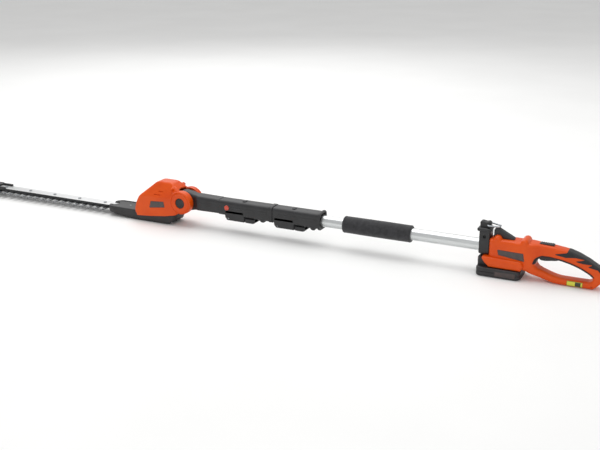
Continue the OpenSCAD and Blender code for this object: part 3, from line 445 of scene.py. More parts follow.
def panel(loops, keep, edge, step):
    # Triangles over the outline, closer together where its edge is rounded
    corners, faces = triangulate(loops, [], keep)
    rim = rimOf(faces)
    start, end = corners[rim[:, 0]], corners[rim[:, 1]]
    inward = (end - start)[:, ::-1] * (-1, 1)
    inward /= np.linalg.norm(inward, axis=1)[:, None]
    turned = np.zeros_like(corners)
    np.add.at(turned, rim[:, 0], inward)
    np.add.at(turned, rim[:, 1], inward)
    onRim = np.unique(rim)
    turned = turned[onRim] / np.maximum(np.linalg.norm(turned[onRim], axis=1), 1e-6)[:, None]
    extra = [np.zeros((0, 2))]
    for share in ringShares if edge > 0 else []:
        ring = corners[onRim] + turned * edge * share
        ring = ring[keep(ring)]
        extra.append(ring[distanceTo(ring, (start, end)) > 0.96 * edge * share])
    low, high = corners.min(0), corners.max(0)
    across, up = np.meshgrid(np.arange(low[0], high[0], step), np.arange(low[1], high[1], step * 0.87))
    across = across + (np.arange(across.shape[0]) % 2)[:, None] * step / 2
    grid = np.stack([across.ravel(), up.ravel()], 1)
    grid = grid[keep(grid)]
    if len(grid):
        extra.append(grid[distanceTo(grid, (start, end)) > edge + 0.4 * step])
    corners, faces = triangulate(loops, np.concatenate(extra), keep)
    return corners, faces, distanceTo(corners, (start, end))


def fall(inset, edge):
    # How far an elliptic round of unit depth has fallen, a given distance in from its rim
    return 1 - np.sqrt(1 - (1 - np.clip(inset / edge, 0, 1)) ** 2)


def crown(half, edge, depth, rim=None, slope=False):
    # Height that falls towards the outline in an elliptic round, or in a straight bevel.
    # rim gives the sides it falls towards, if not all of the outline.
    def height(points, inset):
        inset = inset if rim is None else distanceTo(points, rim)
        full = half(points) if callable(half) else half
        return full - depth * (1 - np.clip(inset / edge, 0, 1) if slope else fall(inset, edge))
    return height


def cut(loop, amount, draft=0.4):
    # A pocket, or a raised pad if amount is positive, with drafted walls
    return {"loop": loop, "floor": grown(loop, -draft), "amount": amount, "draft": draft}


def applyCuts(height, cuts, points):
    for c in cuts:
        deep = np.where(within(points, c["loop"]), distanceTo(points, sidesOf(c["loop"])), 0)
        height = height + c["amount"] * np.clip(deep / c["draft"], 0, 1)
    return height


def solid(loops, top, bottom, place, edge=3, keep=None, step=7, cuts=(), guides=()):
    # A closed solid. top and bottom are numbers or heights over the outline; guides are lines that
    # the triangles follow; place puts (along, up, out) where it belongs.
    if keep is None:
        def keep(points):
            return sum(within(points, loop).astype(int) for loop in loops) % 2 == 1
    drawn = list(loops) + list(guides)
    for c in cuts:
        drawn += [c["loop"], c["floor"]]
    corners, faces, inset = panel(drawn, keep, edge, step)
    high = top(corners, inset) if callable(top) else np.full(len(corners), float(top))
    high = applyCuts(high, cuts, corners)
    low = bottom(corners, inset) if callable(bottom) else np.full(len(corners), float(bottom))
    low = np.minimum(low, high - 0.05)
    count = len(corners)
    points = [place(u, v, w) for (u, v), w in zip(corners, high)]
    points += [place(u, v, w) for (u, v), w in zip(corners, low)]
    sides = [(b, a, a + count, b + count) for a, b in rimOf(faces).tolist()]
    under = [(c + count, b + count, a + count) for a, b, c in faces.tolist()]
    return points, faces.tolist() + under + sides


def hollow(outer, wall, channels=()):
    # The inside of a half shell: a wall thick at the outline, then parallel to the outside.
    # channels are (test, half width) pairs that keep a slot open across the middle.
    def height(points, inset):
        skin = outer(points, inset)
        inner = np.clip((inset - wall) / wall, 0, 1) * (skin - wall)
        for test, half in channels:
            inner = np.where(test(points), np.maximum(inner, half), inner)
        return np.minimum(inner, skin - 0.8)
    return height


def lathe(profile, place, closed=False, segments=72):
    # Turns (along, radius) points about an axis; closed joins the last point to the first
    points, faces = [], []
    for along, radius in profile:
        for k in range(segments):
            a = 2 * math.pi * k / segments
            points.append(place(radius * math.cos(a), radius * math.sin(a), along))
    rows = len(profile)
    for i in range(rows if closed else rows - 1):
        for k in range(segments):
            a, b = i * segments + k, i * segments + (k + 1) % segments
            c, d = (i + 1) % rows * segments + k, (i + 1) % rows * segments + (k + 1) % segments
            faces.append((a, b, d, c))
    if not closed:
        faces.append(tuple(range(segments))[::-1])
        faces.append(tuple((rows - 1) * segments + k for k in range(segments)))
    return points, faces


def fromSide(origin, sign=1):
    return lambda u, v, w: origin + Vector((u, sign * w, v)) * mm


def fromAbove(origin):
    return lambda u, v, w: origin + Vector((u, v, w)) * mm


def fromEnd(origin):
    return lambda u, v, w: origin + Vector((w, u, v)) * mm


def joined(*loops):
    # The test for being inside any of several outlines, and both ends of every edge of their joint rim
    def keep(points):
        return np.any([within(points, loop) for loop in loops], axis=0)
    corners, faces = triangulate(list(loops), [], keep)
    rim = rimOf(faces)
    return keep, corners[rim[:, 0]], corners[rim[:, 1]]


def both(half, edge, depth, **more):
    # The two heights of a piece that is the same on both sides
    shape = crown(half, edge, depth, **more)
    return shape, lambda points, inset: -shape(points, inset)


def slab(loop, origin, half, edge, depth, step=7):
    # An outline seen from the side, as thick one way as the other, with rounded edges
    return solid([loop], *both(half, edge, depth), fromSide(origin), edge, step=step)


def pair(loops, top, bottom, origin, edge, **more):
    # The same solid on the left and on the right
    return [solid(loops, top, bottom, fromSide(origin, s), edge, **more) for s in (-1, 1)]


def platePair(loop, origin, half, thick, depth):
    return pair([loop], crown(half, 0.5, depth), half - thick, origin, 0.5)


def makePiece(name, solids, material, body, replaces=(), sharp=32):
    mesh = bpy.data.meshes.new(name)
    shape = bmesh.new()
    for points, faces in solids:
        made = [shape.verts.new(p) for p in points]
        for face in faces:
            shape.faces.new([made[k] for k in face])
    loose = [v for v in shape.verts if not v.link_faces]
    bmesh.ops.delete(shape, geom=loose, context="VERTS")
    bmesh.ops.remove_doubles(shape, verts=shape.verts, dist=2e-6)
    bmesh.ops.dissolve_degenerate(shape, edges=shape.edges, dist=1e-6)
    bmesh.ops.recalc_face_normals(shape, faces=shape.faces)
    shape.to_mesh(mesh)
    shape.free()
    mesh.polygons.foreach_set("use_smooth", [True] * len(mesh.polygons))
    mesh.set_sharp_from_angle(angle=math.radians(sharp))
    mesh.materials.append(material)
    made = bpy.data.objects.new(name, mesh)
    bpy.context.scene.collection.objects.link(made)
    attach(made, body)
    if replaces:
        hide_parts(*replaces)
    return made


def smoothStep(value, low, high):
    t = np.clip((value - low) / (high - low), 0, 1)
    return t * t * (3 - 2 * t)


# ---- rear handle ----

handle = {
    "bodyHalf": 24, "loopHalf": 17, "narrowsFrom": 96, "narrowsTo": 128,
    "edge": 8, "depth": 9, "wall": 3, "topZ": 25, "bossR": 10, "footHalf": 33,
}


def bossArc(x, z):
    lean = math.asin((handle["topZ"] - z) / handle["bossR"])
    turn = np.linspace(math.pi - lean, lean, 12)
    return [(x + handle["bossR"] * math.cos(a), z + handle["bossR"] * math.sin(a),
             2.5 if k in (0, 11) else 0) for k, a in enumerate(turn)]


handleLoop = rounded(
    [(0, -34, 6), (0, 22, 5), (3, 25, 4), *bossArc(19, 24), *bossArc(84, 24), (115, 25), (150, 23.5),
     (185, 19), (208, 12), (232, 1), (256, -13), (270, -24), (277, -31, 5), (277, -37, 5), (270, -43),
     (262, -51), (254, -60), (246, -67, 8), (167, -67), (150, -65), (126, -58), (102, -50), (88, -43.7),
     (20, -43.7, 8)], 90)
openingLoop = rounded(
    [(110, -26, 8), (114, -12, 10), (125, -6, 12), (144, -5.5), (167, -8), (190, -13), (213, -20.5),
     (237, -32.5), (246, -42, 4), (236, -49.5, 8), (212, -50), (166, -50), (142, -43), (118, -34, 12)], 90)
badgeLoop = rounded([(21, 1), (83, 0), (87, -20), (24, -12)], 1.5)
triggerGap = {"sides": (112.7, 178.3, -30, 0), "half": 7.3}
lockGap = {"sides": (115.7, 150.3, 10, 40), "half": 7.3}
railGap = {"to": 76.5, "neckTop": -40.3, "headTop": -35.7, "neckHalf": 18.3, "headHalf": 24.3}


def handleHalf(points):
    narrowing = smoothStep(points[:, 0], handle["narrowsFrom"], handle["narrowsTo"])
    return handle["bodyHalf"] + narrowing * (handle["loopHalf"] - handle["bodyHalf"])


railTests = [(inRoom(x1=railGap["to"], z1=railGap["neckTop"]), railGap["neckHalf"]),
             (inRoom(x1=railGap["to"], z0=railGap["neckTop"], z1=railGap["headTop"]), railGap["headHalf"])]
railLines = [rectangle(-40, railGap["to"], -60, railGap["neckTop"]),
             rectangle(-40, railGap["to"], railGap["neckTop"], railGap["headTop"])]
handleSides = tuple(np.concatenate(pair) for pair in zip(sidesOf(handleLoop), sidesOf(openingLoop)))
handleCrown = crown(handleHalf, handle["edge"], handle["depth"], rim=handleSides)
# Each screw sits at the bottom of a pocket: place and depth
handleScrews = [((19, 24), 3.6), ((84, 24), 3.6), ((97, -36), 1.6), ((258, -40), 1.6), ((160, -59), 1.6),
                ((200, 5), 1.6)]


def buildHandleShells():
    footLoop = rounded([(-17, -18, 4), (80, -20, 4), (86, -30, 4), (80, -43.7, 3), (4, -43.7, 6),
                        (-9, -32)], 20)
    plateBed = [cut(grown(badgeLoop, 0.4), -1.0)]
    pockets = plateBed + [cut(circle(*at, 3.5, 1.5), -depth, 0.3) for at, depth in handleScrews]
    channels = [(inRoom(*g["sides"]), g["half"]) for g in (triggerGap, lockGap)] + railTests
    lines = railLines + [rectangle(*g["sides"]) for g in (triggerGap, lockGap)]
    for sign, node in ((-1, "handle_left"), (1, "handle_right")):
        place = fromSide(handleAt, sign)
        body = solid([handleLoop, openingLoop], handleCrown, hollow(handleCrown, handle["wall"], channels),
                     place, handle["edge"], cuts=pockets if sign > 0 else plateBed, guides=lines)
        footCrown = crown(handle["footHalf"], 6, 6)
        foot = solid([footLoop], footCrown, hollow(footCrown, handle["wall"], railTests), place, 6,
                     guides=railLines)
        makePiece("shell_" + node, [body, foot], orange, "rear_pole", [node])


skin = {"proud": 0.6, "thick": 1.6, "lipProud": 0.6, "lipWidth": 5.5}


def buildGripSkin():
    outer = grown(handleLoop, skin["proud"])
    # The upper edge runs out to the left in three pointed fingers
    area = rounded([(152, 7.5, 1), (182, 15, 3), (190, 40, 0), (290, 40, 0), (290, -33, 0), (268, -31),
                    (254, -16, 3), (231, -11.5, 1), (243, -5.5, 1), (219, -5.5, 3), (201, -2.5, 1),
                    (226, 4, 1), (203, 6.5, 3), (180, 3.5, 3)], 5)
    opening = grown(openingLoop, -skin["lipProud"])
    lipEdge = grown(openingLoop, skin["lipWidth"])
    lipArea = rounded([(105, -24), (105, 20), (262, 20), (262, -38), (200, -30), (130, -20)], 3)
    sides = tuple(np.concatenate(pair) for pair in zip(sidesOf(outer), sidesOf(opening)))

    def proudHalf(points):
        return handleHalf(points) + skin["proud"]
    shape = crown(proudHalf, handle["edge"], handle["depth"], rim=sides)

    def inner(points, inset):
        outside = shape(points, inset)
        away = distanceTo(points, sides)
        lining = np.clip(away / skin["thick"] - 0.5, 0, 1) * (outside - skin["thick"])
        inGap = inRoom(*triggerGap["sides"])(points)
        return np.where(inGap, np.maximum(lining, triggerGap["half"]), lining)
    solids = []
    for sign in (-1, 1):
        place = fromSide(handleAt, sign)
        # Only the right skin has a hole, for the screw under it
        hole = circle(200, 5 if sign > 0 else 60, 3.6, 1.5)
        solids.append(solid([outer, area, hole] if sign > 0 else [outer, area], shape, inner, place, 3,
                            step=6, keep=lambda p, h=hole: (within(p, outer) & within(p, area)
                                                            & ~within(p, h))))
        solids.append(solid([opening, lipEdge, lipArea], shape, inner, place, 1.5, step=6,
                            guides=[rectangle(*triggerGap["sides"])],
                            keep=lambda p: within(p, lipEdge) & ~within(p, opening) & within(p, lipArea)))
    makePiece("grip_skin", solids, rubber, "rear_pole", ["grip_overmould"])


def buildHandleFittings():
    plates = platePair(grown(badgeLoop, -0.1), handleAt, 23.6, 0.6, 0.4)
    makePiece("handle_name_plates", plates, bronze, "rear_pole", ["handle_badges"])
    labelLoop = rectangle(187, 223, -64.5, -52.5, 1)
    film = solid([labelLoop], lambda p, d: handleCrown(p, d) + 0.3, lambda p, d: handleCrown(p, d) - 0.2,
                 fromSide(handleAt, -1), 1.5, step=3)
    sticker = printedLabel("labelFilm", labelPrint, handleAt + Vector((205, 0, -58.5)) * mm)
    makePiece("blank_label", [film], sticker, "rear_pole", ["safety_label"])
    triggerLoop = rounded([(117, -13), (122, -16), (132, -16), (158, -12), (172, -7), (175, 2), (168, 5),
                           (120, -1)], 5)
    makePiece("trigger_lever", [slab(triggerLoop, handleAt, 7, 3, 2.5, 4)], black, "trigger", ["trigger"])
    ridges = [(150 - 34 * k / 16, 27.5 - (k % 2) * 1.2, 0) for k in range(1, 16)]
    lockLoop = rounded([(116, 20, 0), (150, 20, 0), (150, 26.5, 0.8), *ridges, (116, 26.5, 0.8)], 1, 2)
    makePiece("lock_slider", [slab(lockLoop, handleAt, 7, 1, 1)], black, "lock_off", ["lock_off_button"])
    restLoop = rounded([(7, 20, 0), (7, 44, 3), (12, 50, 5), (17, 49, 4), (57, 28), (57, 20, 0)], 3)
    makePiece("strap_wedge", [slab(restLoop, handleAt, 9, 4, 4)], black, "rear_pole", ["strap_rest"])


bracket = {"eye": (-8, 54), "eyeR": 2.1, "boreR": 15.05}


def buildStrapBracket():
    collar = rounded([(-18, -18), (18, -18), (18, 43), (-18, 43)], 6)
    ends = solid([collar, circle(0, 0, bracket["boreR"])], crown(-0.05, 2.5, 2.5),
                 lambda p, d: -25.95 + 2.5 * fall(d, 2.5), fromEnd(handleAt), 2.5)
    shoulder = rounded([(-32, 38), (2, 38), (2, 47), (-32, 47)], 4)
    block = rounded([(-26, 40, 0), (-28, 59, 3), (-24, 62, 4), (-14, 60), (-6, 62, 4), (-2, 59, 3),
                     (-1, 40, 0)], 6)
    eye = circle(*bracket["eye"], bracket["eyeR"], 1)
    parts = [ends, slab(shoulder, handleAt, 18, 4, 4),
             solid([block, eye], *both(9, 3, 2.5, rim=sidesOf(block)), fromSide(handleAt), 3)]
    makePiece("strap_hanger", parts, black, "rear_pole", ["strap_bracket"])


ring = {"half": 15, "reach": 28, "tip": 7, "tilt": 4, "wire": 2}


def buildRing():
    lean = math.radians(ring["tilt"])
    flat = rounded([(0, -ring["half"]), (ring["reach"], -ring["tip"]), (ring["reach"], ring["tip"]),
                    (0, ring["half"])], 3, 1.5)
    eyeX, eyeZ = bracket["eye"]
    line = [handleAt + Vector((eyeX + u * math.cos(lean), v, eyeZ - u * math.sin(lean))) * mm
            for u, v in flat]
    points, faces = [], []
    sides, count = 14, len(line)
    up = Vector((math.sin(lean), 0, math.cos(lean)))
    for i, here in enumerate(line):
        run = (line[(i + 1) % count] - line[i - 1]).normalized()
        out = run.cross(up).normalized()
        for k in range(sides):
            a = 2 * math.pi * k / sides
            points.append(here + (out * math.cos(a) + up * math.sin(a)) * (ring["wire"] * mm))
    for i in range(count):
        for k in range(sides):
            j, m = (i + 1) % count, (k + 1) % sides
            faces.append((i * sides + k, i * sides + m, j * sides + m, j * sides + k))
    makePiece("wire_ring", [(points, faces)], zinc, "strap_ring", ["strap_ring"])


# ---- battery ----

battery = {"front": -26, "long": 107, "half": 37.6, "corner": 12, "floorZ": -67, "splitZ": -55, "topZ": -44}


def buildBattery():
    b = battery
    x0, x1 = b["front"], b["front"] + b["long"]
    plan = rectangle(x0, x1, -b["half"], b["half"], b["corner"])
    place = fromAbove(handleAt)
    upper = solid([plan], crown(b["topZ"], 4, 3),
                  lambda p, d: b["splitZ"] + 0.9 * (1 - np.clip(d / 0.9, 0, 1)), place, 4)
    rail = [(-18, -46), (-18, -40), (-24, -40), (-24, -36), (24, -36), (24, -40), (18, -40), (18, -46)]
    rails = solid([rounded(rail, 0.5)], 75.6, 2, fromEnd(handleAt), 0)
    back = [(-21, -20, 4), (-18.5, -20), (-10.2, -32.4), (2.5, -43.6), (2.5, -50, 0)]
    hump = rounded([(-26, -50, 0), (-25, -24, 4), *back], 2)
    # The latch sits in a notch between two cheeks, with room behind it to be pressed in
    notched = rounded([(-26, -50, 0), (-25.6, -41, 0.5), (-17.5, -41, 0.5), (-17.5, -26, 0.5),
                       (-25, -26, 0.5), (-24.9, -24, 2), *back], 2)
    front = pair([hump], crown(20, 4, 4), 12.3, handleAt, 4)
    front.append(solid([notched], 12.4, -12.4, fromSide(handleAt), 0))
    rearRibs = [solid([rectangle(-66, -47, -0.9, 0.9, 0.6)], x1 + 0.3, x1 - 4,
                      lambda u, v, w, y=y: handleAt + Vector((w, y + v, u)) * mm, 0)
                for y in range(-24, 25, 8)]
    makePiece("battery_case_upper", [upper, rails] + front, black, "battery", ["battery_upper"])
    lower = solid([plan], lambda p, d: b["splitZ"] - 0.1 - 0.9 * (1 - np.clip(d / 0.9, 0, 1)),
                  lambda p, d: b["floorZ"] + 5 * fall(d, 6), place, 6)
    makePiece("battery_case_lower", [lower] + rearRibs, black, "battery", ["battery_lower"])
    panelLoop = rectangle(22, 70, -61.5, -50, 1.5)
    plate = platePair(panelLoop, handleAt, 38.0, 0.7, 0.3)
    latch = rounded([(-27.5, -40), (-21, -40), (-21, -27), (-27.5, -27)], 1.5)
    makePiece("battery_side_plates", plate, bronze, "battery")
    ribs = [slab(rectangle(-28.0, -26.5, z, z + 1.1, 0.5), handleAt, 9, 0.4, 0.4)
            for z in (-37.5, -34.6, -31.7)]
    makePiece("latch_button", [slab(latch, handleAt, 12, 2, 2)] + ribs, darkRed, "battery_latch",
              ["battery_latch"])


# ---- pole: foam grip, couplers and levers ----

def buildFoam():
    low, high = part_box("foam_grip")
    origin = Vector(((low.x + high.x) / 2, 0, poleAxisZ))
    half, r, bore = (high.x - low.x) / 2 / mm, (high.z - low.z) / 2 / mm, 15.05
    nose = [(half - 4 + 4 * math.sin(a), r - 4 + 4 * math.cos(a)) for a in np.linspace(0, math.pi / 2, 7)]
    swell = [(x, r - 0.5 * (x / half) ** 2) for x in np.linspace(-half + 6, half - 6, 25)]
    profile = [(-half, bore)] + [(-x, y) for x, y in nose[::-1]] + swell + nose + [(half, bore)]
    made = makePiece("foam_sleeve", [lathe(profile, fromEnd(origin), True)], foam, "rear_pole",
                     ["foam_grip"])


coupler = {"half": 21.1, "top": 22.5, "bottom": -19, "corner": 9, "leverEnd": 89, "notchEnd": 96,
           "notchZ": -14, "channelHalf": 17}


def couplerSection(extra=0):
    c = coupler
    section = rectangle(-c["half"], c["half"], c["bottom"], c["top"], c["corner"])
    return grown(section, extra) if extra else section


def sleevePart(origin, x0, x1, bore, extra=0, round0=0.0, round1=0.0, floor=None):
    section = couplerSection(extra)
    loops = [section, circle(0, 0, bore)]
    lines = [rectangle(-40, 40, -60, floor)] if floor is not None else []

    def keep(points):
        inSection = within(points, section) & ~within(points, loops[1])
        return inSection if floor is None else inSection & (points[:, 1] > floor)

    def end(x, r, sign):
        return lambda p, d: x - sign * r * fall(d, max(r, 0.1))
    return solid(loops, end(x1, round1, 1), end(x0, round0, -1), fromEnd(origin),
                 max(round0, round1), keep=keep, guides=lines)


rearSleeve = {"x0": -4, "x1": 135, "bore": 16.6, "ringFrom": 128, "ringGrow": 3}
frontSleeve = {"x0": -20, "x1": 144, "bore": 16.65, "ringFrom": 132, "ringGrow": 1.5}


def couplerSolids(origin, x0, x1, bore, ringFrom, ringGrow):
    c = coupler
    parts = [sleevePart(origin, x0, c["leverEnd"], bore, round0=1.5),
             sleevePart(origin, c["leverEnd"], c["notchEnd"], bore, floor=c["notchZ"]),
             sleevePart(origin, c["notchEnd"], x1, bore, round1=1.5),
             sleevePart(origin, ringFrom, x1, bore, ringGrow, 1.6, 1.6)]
    block = rounded([(0, -4, 0), (0, -14), (1, -23), (7, -31, 5), (60, -31, 2), (60, -4, 0)], 4)
    start, end = sidesOf(block)
    below = (start + end)[:, 1] / 2 < -5
    shape = crown(c["half"], 3, 3, rim=(start[below], end[below]))

    def channel(points, inset):
        return np.where(inRoom(x0=6, z1=c["bottom"])(points), c["channelHalf"], 0.0)
    parts += pair([block], shape, channel, origin, 3, guides=[rectangle(6, 80, -60, c["bottom"])])
    foot = rounded([(96, -12, 0), (103, -20), (108, -25, 4), (116, -25, 4), (121, -18), (121, -12, 0)], 5)
    rib = rounded([(46, 18, 0), (49, 25, 3), (56, 25, 3), (61, 18, 0)], 2)
    parts += [slab(foot, origin, 16, 3, 3), slab(rib, origin, 8, 2, 2)]
    # Long raised ledge along each side of the sleeve
    ledge = rounded([(x0 + 8, 3), (ringFrom - 6, 3), (ringFrom - 8, 8), (x0 + 10, 8)], 2)
    return parts + pair([ledge], crown(c["half"] + 0.7, 1.2, 0.7), c["half"] - 1, origin, 1.2)


def buildCouplers():
    for side, origin, sizes, body in (("rear", rearBlockAt, rearSleeve, "middle_pole"),
                                      ("front", frontBlockAt, frontSleeve, "front_pole")):
        makePiece("coupler_" + side, couplerSolids(origin, **sizes), black, body, [side + "_coupler"])
    lever = rounded([(12, -19.4), (89, -19.4), (89, -31, 2), (12, -30.6)], 1)
    boss = circle(12, -25, 5.6, 1.5)
    tail = rounded([(62.3, -19.4), (89, -19.4), (89, -29, 2), (86, -31.5, 2), (62.3, -31)], 1.5)
    grips = [(64 + 4 * k, -31.4) for k in range(5)]
    for origin, node in ((rearBlockAt, "rear_lever"), (frontBlockAt, "front_lever")):
        parts = [solid([lever, boss], *both(16.7, 2, 2), fromSide(origin), 2,
                       keep=lambda p: within(p, lever) | within(p, boss)),
                 slab(tail, origin, 20.6, 2.5, 2.5)]
        parts += [solid([rectangle(x, x + 1.8, z - 0.8, z + 1, 0.8, 1)], *both(15, 1, 1), fromSide(origin),
                        0.6) for x, z in grips]
        makePiece("clamp_" + node, parts, black, node, [node])


def buildReleaseButton():
    low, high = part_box("release_button")
    origin = Vector(((low.x + high.x) / 2, low.y, (low.z + high.z) / 2))
    depth = (high.y - low.y) / mm
    dish = [(1.0, 0.01), (0.8, 2.5), (0.2, 4.6), (0.0, 5.2), (0.3, 6.0), (1.0, 6.7), (2.0, 7.0),
            (depth, 7.0)]
    turned = lathe(dish, lambda u, v, w: origin + Vector((u, w, v)) * mm)
    makePiece("release_cap", [turned], redButton, "release_button", ["release_button"])


# ---- neck ----

neck = {"knuckleR": 30, "knuckleHalf": 15.6, "half": 20.6, "long": 112, "boreR": 16.6}


def buildNeck():
    n = neck
    disc = circle(0, 0, n["knuckleR"])
    beam = rounded([(0, 30, 0), (20, 27), (36, 22.5), (112, 21, 0), (112, -19, 0), (36, -20), (18, -25),
                    (0, -24, 0)], 60)

    def half(points):
        return n["knuckleHalf"] + smoothStep(points[:, 0], 33, 46) * (n["half"] - n["knuckleHalf"])
    keep, start, end = joined(disc, beam)
    # The end that meets the coupler stays square
    free = np.minimum(start[:, 0], end[:, 0]) < n["long"] - 0.5
    shape = crown(half, 9, 8, rim=(start[free], end[free]))

    def bore(points, inset):
        roundBore = np.sqrt(np.maximum(n["boreR"] ** 2 - (points[:, 1] + 2) ** 2, 0))
        return np.where(points[:, 0] > 44, roundBore, 0.0)
    ledge = rounded([(52, 2), (106, 0), (106, 6), (54, 9)], 2.5)
    for sign, node in ((-1, "neck_left"), (1, "neck_right")):
        made = solid([disc, beam], shape, bore, fromSide(pivotAt, sign), 9, keep=keep,
                     cuts=[cut(ledge, 0.8, 1.0)], guides=[rectangle(44, 130, -60, 60)])
        makePiece("shell_" + node, [made], black, "front_pole", [node])


# ---- head ----

head = {"half": 37, "edge": 6, "depth": 5, "wall": 3, "discR": 32, "cheekIn": 17.1, "slotR": 31.5,
        "topTaper": 18, "taperFrom": 10, "top": 50}
headBadge = rounded([(-95, -5), (-53, -2), (-50, -18), (-101, -25)], 1.5)


def headHalf(points):
    outsideDisc = (points ** 2).sum(1) > head["discR"] ** 2
    height = (points[:, 1] - head["taperFrom"]) / (head["top"] - head["taperFrom"])
    return head["half"] - head["topTaper"] * np.clip(height, 0, 1) * outsideDisc


def buildHeadShells():
    h = head
    body = rounded([(-144, -52.5, 0), (-150, -44, 8), (-151, -33), (-148, -22), (-143, -8), (-136, 4.5),
                    (-91, 42, 20), (-85, 47, 20), (-78, 49.5), (-70, 50), (-40, 50, 8), (-33, 48, 8),
                    (-8, 29, 0), (-8, -29, 0), (-14, -36), (-50, -43), (-100, -49)], 60)
    disc = circle(0, 0, h["discR"])
    keep, start, end = joined(body, disc)
    # The underside stays flat, where the gear case comes up inside
    upper = ~inRoom(-146, -16, z1=-34)((start + end) / 2)
    shape = crown(headHalf, h["edge"], h["depth"], rim=(start[upper], end[upper]))
    slots = [rectangle(-85, -62, 14, 16.6, 1.2, 1.5), rectangle(-72, -57, 23.5, 25.7, 1.0, 1.5)]
    screws = []
    for x, z in ((-134, -24), (-96, 20), (-28, 36), (-24, -33.5)):
        # A boss brings the tapered side out to the screw, and the screw sits in its pocket
        taper = 0.8 * (h["half"] - headHalf(np.array([(x, z)]))[0])
        screws += [cut(circle(x, z, 5.5, 1.2), taper, 0.8), cut(circle(x, z, 2.9, 1.2), -4.2, 0.3)]
    groove = [cut(circle(0, 0, 29.4), -1.3, 1.0), cut(circle(0, 0, 27.2), 1.3, 1.0)]
    common = [cut(s, -2.6, 0.5) for s in slots] + groove + [cut(grown(headBadge, 0.4), -1.0)]
    knuckle = (lambda p: (p ** 2).sum(1) < h["slotR"] ** 2, h["cheekIn"])
    behind = (inRoom(x0=-16), h["cheekIn"])
    caseRoom = (inRoom(x1=-20, z1=-38.8), 33.2)
    lines = [circle(0, 0, h["slotR"]), rectangle(-16, 60, -60, 60), rectangle(-200, -20, -80, -38.8)]
    # The screws go in from the right. The tilt lock's cap sits in the left hub, the axle's head in the
    # right one.
    leftCuts = [cut(circle(0, 0, 14.6), -12.2, 0.3), cut(circle(-28, 36, 5, 1.2), 7.5, 2.5)]
    rightCuts = [cut(circle(0, 0, 11.4), -8.6, 0.4)] + screws
    for sign, node, own in ((-1, "head_left", leftCuts), (1, "head_right", rightCuts)):
        made = solid([body, disc], shape, hollow(shape, h["wall"], [knuckle, behind, caseRoom]),
                     fromSide(pivotAt, sign), h["edge"], keep=keep, cuts=common + own, guides=lines)
        makePiece("shell_" + node, [made], orange, "head", [node])
    plates = platePair(grown(headBadge, -0.1), pivotAt, 36.6, 0.6, 0.4)
    makePiece("head_name_plates", plates, bronze, "head", ["head_badges"])


def buildTiltButton():
    low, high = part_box("tilt_button")
    origin = Vector((pivotAt.x, low.y, pivotAt.z))
    depth, r = (high.y - low.y) / mm, (high.x - low.x) / 2 / mm
    dish = [(2.4, 0.01), (2.2, 5.0), (1.6, 8.5), (0.5, 9.6), (0.0, 10.4), (0.0, 11.6), (0.5, 13.0),
            (1.4, r), (depth, r), (depth, r - 3), (2.3, r - 3), (2.3, 6.5), (2.9, 5.5), (2.9, 0.01)]
    turned = lathe(dish, lambda u, v, w: origin + Vector((u, w, v)) * mm)
    makePiece("tilt_lock_cap", [turned], black, "tilt_button", ["tilt_button"])


gearCase = {"front": -252, "rear": -22, "half": 33, "nose": 22, "heel": 19, "deckZ": -39, "splitZ": -51,
            "notchR": 11, "floorZ": -69}


def caseHalf(points):
    g = gearCase
    half = np.full(len(points), float(g["half"]))
    for r, past in ((g["nose"], g["front"] + g["nose"] - points[:, 0]),
                    (g["heel"], points[:, 0] - g["rear"] + g["heel"])):
        half += np.sqrt(np.maximum(r**2 - np.clip(past, 0, r) ** 2, 0)) - r
    return half


def buildGearCase():
    g = gearCase
    plan = rounded([(g["front"], -g["half"], g["nose"]), (g["rear"], -g["half"], g["heel"]),
                    (g["rear"], g["half"], g["heel"]), (g["front"], g["half"], g["nose"])], 1)
    notchX = g["front"] + 10
    notch = np.array([(g["front"] - 4, -g["notchR"])]
                     + [(notchX + g["notchR"] * math.sin(a), -g["notchR"] * math.cos(a))
                        for a in np.linspace(0, math.pi, 16)] + [(g["front"] - 4, g["notchR"])])
    notch = spaced(list(notch), 3)
    inner = rounded([(-246, -28, 16), (-26, -28, 2), (-26, 28, 2), (-246, 28, 16)], 2)

    def keep(points):
        return within(points, plan) & ~within(points, notch)

    def top(points, inset):
        height = crown(g["deckZ"], 3, 2.5)(points, inset)
        sunk = np.clip(distanceTo(points, sidesOf(inner)) / 1.5, 0, 1) * within(points, inner)
        return height - 1.6 * sunk * np.clip((inset - 3.5) / 1.5, 0, 1)
    made = solid([plan, notch], top, g["splitZ"] + 0.05, fromAbove(pivotAt), 3, keep=keep, step=6,
                 guides=[inner, grown(inner, -1.5)])
    makePiece("gear_case_deck", [made], black, "head", ["gear_case"])
    profile = rounded([(g["front"], -51, 0), (g["front"], -53, 2), (-246, -58, 5), (-236, -60.5),
                       (-165, g["floorZ"]), (-52, g["floorZ"], 12), (-36, -66), (-25, -57),
                       (g["rear"], -51, 0)], 40)
    start, end = sidesOf(profile)
    low = (start + end)[:, 1] / 2 < -51.3
    shape = crown(caseHalf, 8, 7, rim=(start[low], end[low]))

    def blades(points, inset):
        return np.where(inRoom(x1=-60, z0=-56.5)(points), np.minimum(15.5, shape(points, inset) - 1), 0.0)
    halves = pair([profile], shape, blades, pivotAt, 8, guides=[rectangle(-300, -60, -56.5, -40)], step=5)
    makePiece("skid_shoe", halves, black, "head", ["skid_cover"])


# ---- blades and tip ----

teeth = {"first": -267, "pitch": 24.5, "count": 17, "root": 14, "tip": 6, "half": 37.5, "strip": 14,
         "stripEnd": -672, "yokeFrom": -107.5, "yokeTo": -66.5, "yokeHalf": 26.5, "ground": 2.4, "drop": 1.3}
guideGaps = 4  # steps between the first and the last guide nut
guideStep = (teeth["count"] - 2) * teeth["pitch"] / guideGaps
guideX = [teeth["first"] - teeth["pitch"] / 2 - guideStep * k for k in range(guideGaps + 1)]


